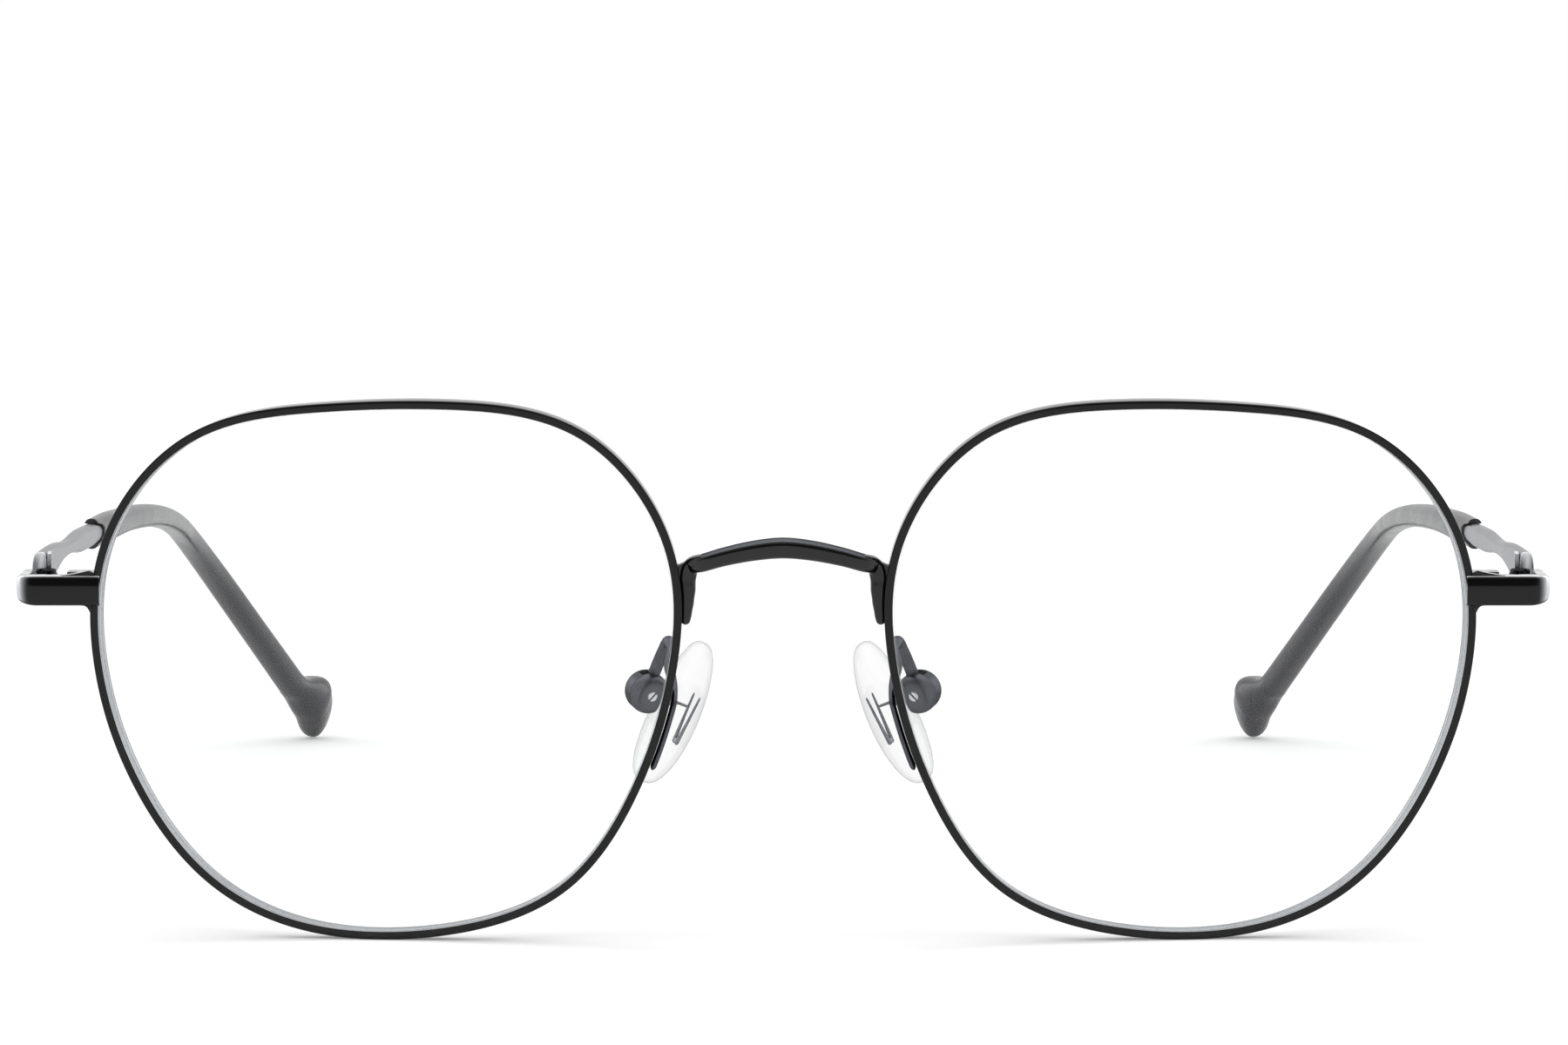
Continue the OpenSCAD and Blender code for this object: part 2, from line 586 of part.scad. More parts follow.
module hinge_temple() {
    color(gunmetal) difference() {
        union() {
            at_hinge() translate([0, 0, stack_mid - barrel_h / 2]) {
                cylinder(r = barrel_r, h = barrel_h);
                translate([leaf_in + 0.1, 0, 0]) cube([0.6, leaf_start + leaf_back + 0.5, barrel_h]);
            }
            at_shank() translate([bar_t / 2 + seat, 0, 0]) rotate([90, 0, 90]) linear_extrude(temple_leaf_t)
                polygon(leaf_outline);
        }
        at_hinge() cylinder(r = hinge_screw_r + run, h = 2 * end_h, center = true);
    }
}
module hinge_screw() {
    color(screw_steel) at_hinge() {
        translate([0, 0, stack_low]) cylinder(r = hinge_screw_r, h = stack_high - stack_low + seat);
        translate([0, 0, stack_high + seat]) cylinder(r = barrel_r, h = screw_head_h);
    }
}

module temple_bar() {
    color(gunmetal) at_temple()
        skin([for (s = bar_stations)
            temple_ring(s, rounded(12, bar_height(s) / 2, bar_thickness(s) / 2, 3.5, [bar_shift(s), 0]))]);
}

// Temple tip: the outer skin, and inside it the bore for the core wire and the slot for the tongue
module temple_tip() {
    bore = [for (s = [mouth_at, tongue_end, tongue_end + 3, for (i = [1 : 5]) tongue_end + 3 + (bend_at - tongue_end - 3) * i / 5,
                      for (i = [1 : 4]) bend_at + (bend_end - bend_at) * i / 4, bend_end + (core_end - bend_end) / 2,
                      core_end + 1])
        temple_ring(s, rounded(12, core_h / 2 + 0.08, eased([[tongue_end, bar_t], [tongue_end + 3, core_t]], s) / 2 + 0.08, 3.5))];
    color(tip_charcoal) at_temple() difference() {
        skin(concat([for (i = [len(bore) - 1 : -1 : 0]) bore[i]], tip_rings));
        rotate([0, 0, -temple_in]) rotate([90, 0, 90]) linear_extrude(4 * tip_t, center = true)
            polygon(rounded(48, tongue_l + run, flare_h / 2 + run, tongue_power, [tongue_at, 0]));
    }
}

module pad_arm() {
    color(dark_gunmetal) in_front() skin(arm_rings);
}

// Pad box: a ball cut flat on the pad's side, with a slot for the pad's tab
module pad_box() {
    slot_w = tab_t + 2 * run;
    color(dark_gunmetal) at_pad() difference() {
        intersection() {
            sphere(r = box_r);
            translate([box_front - 2 * box_r, -1.45, -0.9 * box_r]) cube([2 * box_r, 2.9, 2 * box_r]);
        }
        translate([-tab_r - 0.2, -slot_w / 2, -tab_r - 0.4]) cube([2 * box_r, slot_w, 2 * tab_r + 0.8]);
        rotate([90, 0, 0]) cylinder(r = pad_screw_r + seat, h = 4 * box_r, center = true);
        translate([0, -1.1, 0]) rotate([90, 0, 0]) cylinder(r = pad_head_r + seat, h = box_r);
    }
}
pad_head_r = pad_screw_r + 0.15;
module pad_screw() {
    color(screw_steel) at_pad() rotate([90, 0, 0]) {
        translate([0, 0, -1.45]) cylinder(r = pad_screw_r, h = 2.6);
        translate([0, 0, 1.1 + seat]) cylinder(r = pad_head_r, h = 0.35);
    }
}

// Core of the pad: a tab that turns on the screw, and a plate that the clear pad is moulded round
module pad_core_shape(grow) {
    rotate([90, 0, 0]) cylinder(r = tab_r + grow, h = tab_t + 2 * grow, center = true);
    translate([0, -tab_t / 2 - grow, -tab_r - grow]) cube([pad_out + 0.6, tab_t + 2 * grow, 2 * tab_r + 2 * grow]);
    translate([pad_out + 0.4 - grow, -1.2 - grow, -pad_drop - 2.6 - grow])
        cube([0.5 + 2 * grow, 2.4 + 2 * grow, 5 + 2 * grow]);
}
module pad_core() {
    color(screw_steel) at_pad() difference() {
        pad_core_shape(0);
        rotate([90, 0, 0]) cylinder(r = pad_screw_r + run, h = 4 * tab_t, center = true);
    }
}
module nose_pad() {
    rings = [for (i = [-8 : 8])
        let (u = sin(i * 11), z = pad_l / 2 * u, swell = sqrt(1 - u * u),
             a = pad_t / 2 * pow(swell, 0.6), b = pad_w / 2 * pow(swell, 0.9) * (1 - 0.1 * u))
        [for (q = rounded(12, a, b, 2.3)) [pad_out + 0.05 + q.x - 0.006 * z * z, q.y, z - pad_drop]]];
    color(clear) at_pad() difference() {
        skin(rings);
        pad_core_shape(seat);
    }
}

bridge();
rim();  // rim_right
left() rim();  // rim_left
lens();  // lens_right
left() lens();  // lens_left
lock_half(true);  // rim_lock_upper_right
left() lock_half(true);  // rim_lock_upper_left
lock_half(false);  // rim_lock_lower_right
left() lock_half(false);  // rim_lock_lower_left
lock_screw();  // rim_lock_screw_right
left() lock_screw();  // rim_lock_screw_left
end_piece();  // end_piece_right
left() end_piece();  // end_piece_left
hinge_front();  // hinge_front_right
left() hinge_front();  // hinge_front_left
hinge_screw();  // hinge_screw_right
left() hinge_screw();  // hinge_screw_left
pad_arm();  // pad_arm_right
left() pad_arm();  // pad_arm_left
pad_box();  // pad_box_right
left() pad_box();  // pad_box_left
pad_screw();  // pad_screw_right
left() pad_screw();  // pad_screw_left
pad_core();  // pad_core_right
left() pad_core();  // pad_core_left
nose_pad();  // nose_pad_right
left() nose_pad();  // nose_pad_left
temple_bar();  // temple_bar_right
left() temple_bar();  // temple_bar_left
hinge_temple();  // hinge_temple_right
left() hinge_temple();  // hinge_temple_left
temple_tip();  // temple_tip_right
left() temple_tip();  // temple_tip_left
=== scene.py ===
"""Looks for geometric wire-rim eyeglasses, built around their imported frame.

Lengths are millimetres and angles degrees until a mesh is made. In the object's frame X runs across the
front, Y from the front back to the temple tips, and Z up. The wearer's right side is at negative X.
"""
import math

import bmesh
import bpy
import numpy as np
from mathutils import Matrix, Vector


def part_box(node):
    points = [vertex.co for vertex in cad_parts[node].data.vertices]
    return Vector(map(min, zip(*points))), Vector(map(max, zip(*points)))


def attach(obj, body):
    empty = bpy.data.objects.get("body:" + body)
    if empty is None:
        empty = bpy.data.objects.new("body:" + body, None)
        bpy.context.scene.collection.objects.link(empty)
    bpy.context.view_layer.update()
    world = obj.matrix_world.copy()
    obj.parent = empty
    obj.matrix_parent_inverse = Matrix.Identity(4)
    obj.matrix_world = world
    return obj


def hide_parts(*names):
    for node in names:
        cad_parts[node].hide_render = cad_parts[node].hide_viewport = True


bl_info = {
    "name": "Geometric Eyeglasses",
    "version": (1, 0, 0),
    "blender": (4, 5, 0),
    "location": "3D View > Sidebar > Eyeglasses",
    "description": "Smooth pieces, finishes, floor, lamps and camera for wire-rim eyeglasses",
    "category": "Object",
}

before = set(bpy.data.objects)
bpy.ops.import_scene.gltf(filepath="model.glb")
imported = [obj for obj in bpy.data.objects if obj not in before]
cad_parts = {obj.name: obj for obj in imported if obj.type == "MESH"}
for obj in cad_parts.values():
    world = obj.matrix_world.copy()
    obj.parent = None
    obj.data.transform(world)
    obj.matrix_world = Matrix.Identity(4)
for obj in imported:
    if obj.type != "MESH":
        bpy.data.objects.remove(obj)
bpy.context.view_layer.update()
MM = 0.001
SIDES = {"right": 1, "left": -1}

# The part's own values, which this file can't read from its source
LENS_W = 51
LENS_H = 46.8
LENS_GAP = 18.6
LENS_T = 1.6
LENS_CURVE = 125
WRAP = 5
LEAN = 3
RIM_DEPTH = 2
RIM_WALL = 0.4
RIM_LIP = 0.35
RIM_SPLIT = 0.3
END_OUT = 6.8
END_H = 2.7
END_T = 1.2
END_LAP_T = 0.4
END_REACH = 6
END_CORNER = 2
HINGE_UP = 6.7
BARREL_R = 1
HINGE_SCREW_R = 0.45
SCREW_HEAD_H = 0.35
TEMPLE_LEN = 145.5
TEMPLE_INSET = 0.8
TEMPLE_IN = 3.9
TEMPLE_UP = 1.9
BOW_R = 370
BOW_INWARD = -26
BEND_AT = 97.5
BEND_R = 34
BEND_ANGLE = 38
BEND_INWARD = 34
BAR_T = 1.3
ROOT_H = 3.8
WAIST_H = 1.2
WAIST_AT = 15
TONGUE_AT = 22
TONGUE_L = 9.5
TONGUE_POWER = 3.5
CORE_H = 1.2
CORE_T = 0.9
CORE_END = 130
TIP_H = 2.8
TIP_T = 2.4
BRIDGE_BAR_H = 1.8
BRIDGE_BAR_D = 1.5
BRIDGE_UP = 11.3
BRIDGE_RISE = 1.3
FOOT_W = 1.4
FOOT_TOP = 8.4
FOOT_END = 4.3
FOOT_BACK = 0.25
PAD_L = 13.6
PAD_W = 7.8
PAD_T = 2.6
PAD_SPAN = 24
PAD_BACK = 8.6
PAD_DOWN = 3
PAD_TILT = 25
PAD_SPLAY = 24
PAD_OUT = 3.4
PAD_DROP = 0.9
PAD_SCREW_R = 0.35
BOX_R = 1.85
ARM_D = 1.1
ARM_FOOT_T = 0.55
ARM_FOOT_LOW = -8.3
ARM_FOOT_HIGH = -2.4
LOCK_W = 2.3
LOCK_D = 2
LOCK_HALF_H = 1.3
LOCK_SCREW_R = 0.5
LOCK_HEAD_R = 0.75
LOCK_HEAD_H = 0.4
LOCK_BACK = 0.3
SEAT = 0.03
RUN = 0.05
CORNERS = np.array([
    [1, -0.01], [1.03, 0.48], [0.71, 0.955], [0.24, 1.01], [-0.23, 0.99],
    [-0.69, 0.92], [-1.01, 0.48], [-1.01, -0.01], [-0.89, -0.43], [-0.64, -0.84],
    [-0.25, -1.03], [0.25, -1.01], [0.66, -0.85], [0.89, -0.41],
])
RIM_STEPS = 84

# Stretches of the outline on the temple's and the nose's side, counted in corners
TEMPLE_SIDE = (5, 9)
NOSE_SIDE = (-2, 2)


def linear(code):
    """Linear RGBA of an sRGB hex colour, opaque."""
    share = np.array([int(code[i:i + 2], 16) for i in (1, 3, 5)]) / 255
    low = share / 12.92
    high = ((share + 0.055) / 1.055) ** 2.4
    return (*np.where(share <= 0.04045, low, high).tolist(), 1.0)


def turned(points, axis, angle):
    """Points turned about an axis through the origin: 0 for X, 1 for Y, 2 for Z."""
    c = math.cos(math.radians(angle))
    s = math.sin(math.radians(angle))
    p, q = [(1, 2), (2, 0), (0, 1)][axis]
    out = np.array(points, float)
    out[..., p] = points[..., p] * c - points[..., q] * s
    out[..., q] = points[..., p] * s + points[..., q] * c
    return out


def unit(vectors):
    """Vectors of length one."""
    return vectors / np.linalg.norm(vectors, axis=-1, keepdims=True)


def circle(angle):
    """Points [cos a, sin a] of a circle of radius one."""
    return np.stack([np.cos(angle), np.sin(angle)], -1)


def full_turn(count):
    """Angles evenly spaced round a full turn."""
    return 2 * np.pi * np.arange(count) / count


def eased(table, s):
    """Values at s from [place, value] rows, with the step 3u^2 - 2u^3 between neighbouring rows."""
    places, values = np.array(table, float).T
    s = np.clip(s, places[0], places[-1])
    i = np.clip(np.searchsorted(places, s, "right") - 1, 0, len(places) - 2)
    u = (s - places[i]) / (places[i + 1] - places[i])
    return values[i] + (values[i + 1] - values[i]) * u * u * (3 - 2 * u)


def rounded(count, a, b, power, shift_a=0.0, shift_b=0.0):
    """Sections [up, inward] of superellipses: |x/a|^p + |y/b|^p = 1, one for each row of a and b."""
    c, s = circle(full_turn(count)).T
    a, b, shift_a, shift_b = (np.reshape(v, (-1, 1)) for v in (a, b, shift_a, shift_b))
    x = a * np.sign(c) * abs(c) ** (2 / power) + shift_a
    y = b * np.sign(s) * abs(s) ** (2 / power) + shift_b
    return np.stack(np.broadcast_arrays(x, y), -1)


def softened(corners, radii, steps=6):
    """A closed outline with softened corners.

    Each corner c is a curve (1-u)^2 a + 2u(1-u) c + u^2 b between the points a and b at its radius.
    """
    corners = np.array(corners, float)
    radii = np.array(radii, float)[:, None]
    a = corners + unit(np.roll(corners, 1, 0) - corners) * radii
    b = corners + unit(np.roll(corners, -1, 0) - corners) * radii
    u = np.linspace(0, 1, steps)[None, :, None]
    curve = (1 - u) ** 2 * a[:, None] + 2 * u * (1 - u) * corners[:, None] + u ** 2 * b[:, None]
    return curve.reshape(-1, 2)


# Lens outline and the frames of the front

def raw_outline(t):
    """A cubic B-spline round the corners.

    The four nearest corners are weighted by (1-u)^3, 3u^3-6u^2+4, -3u^3+3u^2+3u+1 and u^3, over 6.
    """
    t = np.asarray(t, float)
    k = np.floor(t).astype(int)
    u = t - k
    weights = np.stack([
        (1 - u) ** 3, 3 * u ** 3 - 6 * u ** 2 + 4, -3 * u ** 3 + 3 * u ** 2 + 3 * u + 1, u ** 3], -1) / 6
    near = (k[..., None] + np.arange(-1, 3)) % len(CORNERS)
    return (weights[..., None] * CORNERS[near]).sum(-2)


RAW = raw_outline(np.arange(RIM_STEPS) * len(CORNERS) / RIM_STEPS)
RAW_MIDDLE = (RAW.max(0) + RAW.min(0)) / 2
RAW_SCALE = np.array([LENS_W, LENS_H]) / (RAW.max(0) - RAW.min(0))


def outline(t):
    """Points [across, up] of the lens outline, scaled to the boxed size."""
    return (raw_outline(t) - RAW_MIDDLE) * RAW_SCALE


def outward(t):
    """Directions out of the outline, square to its run."""
    t = np.asarray(t, float)
    d = unit(outline(t + 0.02) - outline(t - 0.02))
    return np.stack([d[..., 1], -d[..., 0]], -1)


def outline_at(z, side):
    """Where the outline passes height z on one side, read off a dense table."""
    t = np.linspace(*side, 4001)
    heights = outline(t)[:, 1]
    order = np.argsort(heights)
    return np.interp(z, heights[order], t[order])


def sag(across, up):
    """Depth of a sphere of the lens's curve behind its vertex."""
    return LENS_CURVE - np.sqrt(LENS_CURVE ** 2 - across ** 2 - up ** 2)


def front_rim(t, out, back):
    """Points out from the lens edge and back from its middle, in the front's frame before it leans."""
    p = outline(t)
    flat = p + outward(t) * np.asarray(out)[..., None]
    points = np.stack(np.broadcast_arrays(flat[..., 0], sag(p[..., 0], p[..., 1]) + back, flat[..., 1]), -1)
    return lens_to_front(points)


def lens_to_front(points):
    """From the right lens's own frame to the front's: turned back by the wrap and moved to its side."""
    return turned(points, 2, -WRAP) - [(LENS_W + LENS_GAP) / 2, 0, 0]


LOCK_T = float(outline_at(HINGE_UP, TEMPLE_SIDE))
LOCK_POINT = front_rim(np.array(LOCK_T), RIM_WALL, 0)
LEAN_Y = LOCK_POINT[1]


def leaned(points):
    """The front's frame leaned about the line through its hinges."""
    pivot = np.array([0, LEAN_Y, HINGE_UP])
    return turned(points - pivot, 0, LEAN) + pivot


OUTER_X = LENS_W + LENS_GAP / 2 + END_OUT
HINGE_X = OUTER_X - END_T - BARREL_R - RUN
BAR_X = OUTER_X - TEMPLE_INSET - BAR_T / 2
BUTT_AT = BARREL_R + RUN
LAP_HEIGHTS = outline_at(HINGE_UP + np.arange(-3, 4) * END_H / 6, TEMPLE_SIDE)[:, None]
LAP_FRONT = leaned(front_rim(LAP_HEIGHTS, np.array([[-RIM_LIP, RIM_WALL]]), -RIM_DEPTH / 2))
LAP_SIDE = leaned(front_rim(LAP_HEIGHTS, RIM_WALL, np.array([[-1, 0, 1]]) * RIM_DEPTH / 2))
FRONT_FACE_Y = LAP_FRONT[..., 1].min() - SEAT - END_LAP_T
RIM_SIDE_X = LAP_SIDE[..., 0].min()
HINGE_Y = FRONT_FACE_Y + END_REACH

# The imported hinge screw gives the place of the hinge
SCREW_LOW, SCREW_HIGH = (np.array(corner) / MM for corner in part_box("hinge_screw_right"))
MID_Y = HINGE_Y - (SCREW_LOW[1] + SCREW_HIGH[1]) / 2
HINGE_Z = SCREW_HIGH[2] - END_H / 2
STAND_H = HINGE_Z - HINGE_UP


def at_front(points):
    """From the front's frame to the object's."""
    return leaned(points) + [0, -MID_Y, STAND_H]


def at_end_piece(points):
    """From the outer corner of the right end piece to the object's frame."""
    return points + [-OUTER_X, FRONT_FACE_Y - MID_Y, HINGE_Z]


def at_hinge(points):
    """From the middle of the right hinge to the object's frame."""
    return points + [-HINGE_X, HINGE_Y - MID_Y, HINGE_Z]


def at_lock_screw(points):
    """From the middle of the right rim lock's screw to the object's frame."""
    across = LOCK_POINT[0] - SEAT - LOCK_W / 2
    back = LEAN_Y - MID_Y + LOCK_BACK + SEAT + LOCK_D / 2
    return points + [across, back, HINGE_Z]


PAD_PLACE = np.array([-PAD_SPAN / 2, PAD_BACK, -PAD_DOWN])


def at_pad(points):
    """From the right pad's frame to the object's: splayed, tilted, and moved to the pad's screw."""
    return at_front(turned(turned(points, 2, PAD_SPLAY), 1, PAD_TILT) + PAD_PLACE)


# The line of a temple

def circle_points(start, ahead, side, radius, angle):
    """start + r (ahead sin a + side (1 - cos a)), and the directions ahead cos a + side sin a."""
    c = np.cos(np.radians(angle))[..., None]
    s = np.sin(np.radians(angle))[..., None]
    return start + radius * (ahead * s + side * (1 - c)), ahead * c + side * s


BOW_AT = TONGUE_AT + TONGUE_L + 0.5
SHANK = np.array([math.sin(math.radians(TEMPLE_IN)), math.cos(math.radians(TEMPLE_IN)), 0])
BOW_LEAN = math.radians(BOW_INWARD)
BOW_SIDE = np.array([SHANK[1] * math.sin(BOW_LEAN), -SHANK[0] * math.sin(BOW_LEAN), -math.cos(BOW_LEAN)])
BOW_TURN = math.degrees((BEND_AT - BOW_AT) / BOW_R)
BEND_START, BEND_AHEAD = circle_points(SHANK * BOW_AT, SHANK, BOW_SIDE, BOW_R, BOW_TURN)
BEND_ACROSS = unit(np.cross(BEND_AHEAD, [0, 0, 1]))
BEND_LEAN = math.radians(BEND_INWARD)
BEND_SIDE = BEND_ACROSS * math.sin(BEND_LEAN) - np.cross(BEND_ACROSS, BEND_AHEAD) * math.cos(BEND_LEAN)
BEND_END = BEND_AT + math.radians(BEND_ANGLE) * BEND_R


def temple_line(s):
    """Points and directions at length s.

    The line is straight, then a wide circle down, the ear bend's circle, and a straight drop.
    """
    s = np.asarray(s, float)
    bow_turn = np.degrees(np.clip(s - BOW_AT, 0, None) / BOW_R)
    bow = circle_points(SHANK * BOW_AT, SHANK, BOW_SIDE, BOW_R, bow_turn)
    turn = np.degrees(np.clip((s - BEND_AT) / BEND_R, 0, math.radians(BEND_ANGLE)))
    bend = circle_points(BEND_START, BEND_AHEAD, BEND_SIDE, BEND_R, turn)
    where = s[..., None]
    points = np.where(where < BOW_AT, SHANK * where, np.where(where < BEND_AT, bow[0], bend[0]))
    ahead = np.where(where < BOW_AT, SHANK, np.where(where < BEND_AT, bow[1], bend[1]))
    return points + ahead * np.clip(where - BEND_END, 0, None), ahead


def temple_rings(s, sections):
    """Section points [up, inward] set square to the temple's line, each ring or each point at its own s."""
    s = np.broadcast_to(np.reshape(s, (len(sections), -1)), sections.shape[:2])
    points, ahead = temple_line(s)
    side = unit(np.cross(ahead, [0, 0, 1]))
    up = np.cross(side, ahead)
    return points + up * sections[..., :1] + side * sections[..., 1:]


MOUTH_AT = TONGUE_AT + 7
BULB_L = 10
BULB_BODY = 7
BULB_AT = TEMPLE_LEN - BULB_L
TIP_POWER = 2.6

# The tip's height, thickness and shifts, each as [place, value] rows
TIP_HEIGHT = [
    [MOUTH_AT, TIP_H], [TONGUE_AT + TONGUE_L + 1, TIP_H - 0.1], [MOUTH_AT + 22, TIP_H - 0.5],
    [BEND_AT - 4, TIP_H - 0.7], [BEND_END + 4, TIP_H - 0.2], [BULB_AT + 1.5, TIP_H],
    [BULB_AT + 5, TIP_H + 2.3], [BULB_AT + 7.3, TIP_H + 1.8], [TEMPLE_LEN, 1],
]
TIP_THICKNESS = [
    [MOUTH_AT, TIP_T], [BEND_AT, TIP_T], [BULB_AT, TIP_T + 0.3],
    [BULB_AT + 5, TIP_T + 1.7], [BULB_AT + 7.3, TIP_T + 1.2], [TEMPLE_LEN, 0.9],
]
BULB_UP = [[BULB_AT + 1, 0], [BULB_AT + 5, 1], [TEMPLE_LEN, -0.3]]
BULB_IN = [[BULB_AT, 0], [BULB_AT + 5, 0.15], [TEMPLE_LEN, -0.9]]


def tip_sections(s, count):
    """Sections of the temple tip: its height, thickness and bulb at each s."""
    return rounded(count, eased(TIP_HEIGHT, s) / 2, eased(TIP_THICKNESS, s) / 2, TIP_POWER,
                   eased(BULB_UP, s), eased(BULB_IN, s))


def settled_slope(start=0.5, rounds=6):
    """Slope at which the bulb's lowest point touches the floor.

    A first guess is turned by the point's height over its reach, a few times.
    """
    body = BULB_BODY * np.arange(9) / 8
    end = BULB_BODY + (BULB_L - BULB_BODY) * np.sin(np.radians(22.5 * np.arange(1, 5)))
    s = BULB_AT + np.concatenate([body, end])
    rings = temple_rings(s, tip_sections(s, 12))
    slope = start
    for _ in range(rounds):
        lowest = turned(rings, 0, -slope)[..., 2].min()
        slope += math.degrees((HINGE_Z + TEMPLE_UP + lowest) / TEMPLE_LEN)
    return slope


SLOPE = settled_slope()


def at_temple(points):
    """From the right temple's own frame to the object's: sloped down and moved to its hinge."""
    return turned(points, 0, -SLOPE) + [-BAR_X, HINGE_Y - MID_Y, HINGE_Z + TEMPLE_UP]


# Meshes

def tube(rings, start=None, end=None):
    """Points and faces of a skin over rings, with four-sided faces between neighbours.

    An end is one face, or a fan round a pole where that is given.
    """
    m, n = rings.shape[:2]
    i = np.arange(m - 1)[:, None] * n
    j = np.arange(n)[None]
    after = (j + 1) % n
    quads = np.stack(np.broadcast_arrays(i + j, i + after, i + n + after, i + n + j), -1)
    faces = quads.reshape(-1, 4).tolist()
    points = [rings.reshape(-1, 3)]
    for first, pole in ((0, start), ((m - 1) * n, end)):
        ring = first + np.arange(n)
        if pole is None:
            faces.append(ring.tolist())
            continue
        top = np.full(n, sum(len(p) for p in points))
        faces += np.stack([ring, np.roll(ring, -1), top], -1).tolist()
        points.append(np.reshape(pole, (1, 3)))
    return np.concatenate(points), faces


def placed(shells, place):
    """Shells with their points moved by a function."""
    return [(place(points), faces) for points, faces in shells]


def mirrored(shells, sign):
    """Shells as they are for the right side, and mirrored for the left."""
    return placed(shells, lambda points: points * [sign, 1, 1])


def make_piece(name, shells, finish, body, nodes, slot, sharp=35):
    """One object from closed shells in the object's frame, which rides on a body and stands for CAD nodes."""
    counts = np.cumsum([0] + [len(points) for points, _ in shells])
    points = np.concatenate([points for points, _ in shells]) * MM
    faces = [
        [corner + offset for corner in face]
        for (_, rows), offset in zip(shells, counts) for face in rows
    ]
    mesh = bpy.data.meshes.new(name)
    mesh.from_pydata(points.tolist(), [], faces)
    merged = bmesh.new()
    merged.from_mesh(mesh)
    bmesh.ops.remove_doubles(merged, verts=merged.verts, dist=1e-7)
    bmesh.ops.dissolve_degenerate(merged, edges=merged.edges, dist=1e-8)
    bmesh.ops.recalc_face_normals(merged, faces=merged.faces)
    merged.to_mesh(mesh)
    merged.free()
    mesh.shade_smooth()
    mesh.set_sharp_from_angle(angle=math.radians(sharp))
    mesh.materials.append(finish)
    piece = bpy.data.objects.new(name, mesh)
    bpy.context.scene.collection.objects.link(piece)
    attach(piece, body)
    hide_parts(*nodes)
    return piece


def make_pair(name, shells, finish, body, node, slot, **more):
    """A right piece and its mirrored left one. A body or node name with {} takes the side."""
    pair = []
    for side, sign in SIDES.items():
        pair.append(make_piece(f"{name}_{side}", mirrored(shells, sign), finish, body.format(side),
                               [node.format(side)], slot, **more))
    return pair


def painted_light_faces(piece, finish, choose):
    """Faces of a piece take a second finish that paints light on them, a painted highlight or reflection;
    choose reads their middles and normals.
    """
    mesh = piece.data
    mesh.materials.append(finish)
    middles, normals = np.empty((2, 3 * len(mesh.polygons)), np.float32)
    mesh.polygons.foreach_get("center", middles)
    mesh.polygons.foreach_get("normal", normals)
    chosen = choose(middles.reshape(-1, 3) / MM, normals.reshape(-1, 3))
    mesh.polygons.foreach_set("material_index", chosen.astype(np.int32))


def finish_nodes(names, finish):
    """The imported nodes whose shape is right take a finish."""
    for name in names:
        for side in SIDES:
            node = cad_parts[f"{name}_{side}"]
            node.data.materials.clear()
            node.data.materials.append(finish)


def slotted_head(radius, height, slot_w, slot_h, turn):
    """A screw head: rows across a disc, of half width sqrt(R^2 - y^2).

    Its top stands at H - e (r/R)^8, and lower in the slot.
    """
    edge = 0.3 * height
    half = slot_w / 2
    rows = radius * np.sin(np.linspace(-math.pi / 2, math.pi / 2, 25))
    rows = rows[abs(rows) > half + 0.02]
    rows = np.sort(np.concatenate([rows, [-half, -half, half, half], np.linspace(-half, half, 4)[1:-1]]))
    deep = abs(rows) <= half
    deep[np.flatnonzero(rows == -half)[0]] = False
    deep[np.flatnonzero(rows == half)[-1]] = False
    across = np.sin(np.linspace(-math.pi / 2, math.pi / 2, 21))
    x = np.sqrt(np.clip(radius ** 2 - rows ** 2, 0, None))[:, None] * across
    r = np.sqrt(x ** 2 + rows[:, None] ** 2) / radius
    top = height - edge * r ** 8 - np.where(deep, slot_h, 0)[:, None]
    y = np.broadcast_to(rows[:, None], x.shape)
    upper = np.stack([x, y, top], -1)
    lower = np.stack([x, y, np.zeros_like(x)], -1)[:, ::-1]
    points, faces = tube(np.concatenate([upper, lower], 1))
    return turned(points, 2, turn), faces


def shank(radius, low, high):
    """A plain pin: circles between two heights, with a small bevel at its end."""
    ring = circle(full_turn(32))
    profile = ((0.8 * radius, low), (radius, low + 0.2 * radius), (radius, high))
    return tube(np.stack([np.insert(ring * r, 2, z, axis=1) for r, z in profile]))


def plate(loop, depths):
    """A flat plate with eased edges: an outline at four depths, drawn in by a tenth at both faces."""
    centre = loop.mean(0)
    low, high = depths
    edge = 0.12 * (high - low)
    rings = []
    for depth, share in ((low, 0.9), (low + edge, 1), (high - edge, 1), (high, 0.9)):
        rings.append(np.insert(centre + (loop - centre) * share, 1, depth, axis=1))
    return tube(np.stack(rings))


def catmull(path, t):
    """Points at step t of a curve through all points of a path, a Catmull-Rom cubic between each two."""
    path = np.array(path, float)
    padded = np.concatenate([2 * path[:1] - path[1:2], path, 2 * path[-1:] - path[-2:-1]])
    i = np.clip(np.floor(t).astype(int), 0, len(path) - 2)
    u = (t - i)[:, None]
    a, b, c, d = (padded[i + k] for k in range(4))
    return (2 * b + (c - a) * u + (2 * a - 5 * b + 4 * c - d) * u ** 2 + (3 * b - a - 3 * c + d) * u ** 3) / 2


def path_rings(path, t, sections):
    """Section points [across, back] set square to a path, with their second axis turned towards the back."""
    last = len(path) - 1
    ahead = unit(catmull(path, np.minimum(last, t + 0.05)) - catmull(path, np.maximum(0, t - 0.05)))
    back = unit(np.array([0, 1, 0]) - ahead * ahead[:, 1:2])
    side = np.cross(back, ahead)
    middle = catmull(path, t)[:, None]
    return middle + side[:, None] * sections[..., :1] + back[:, None] * sections[..., 1:]


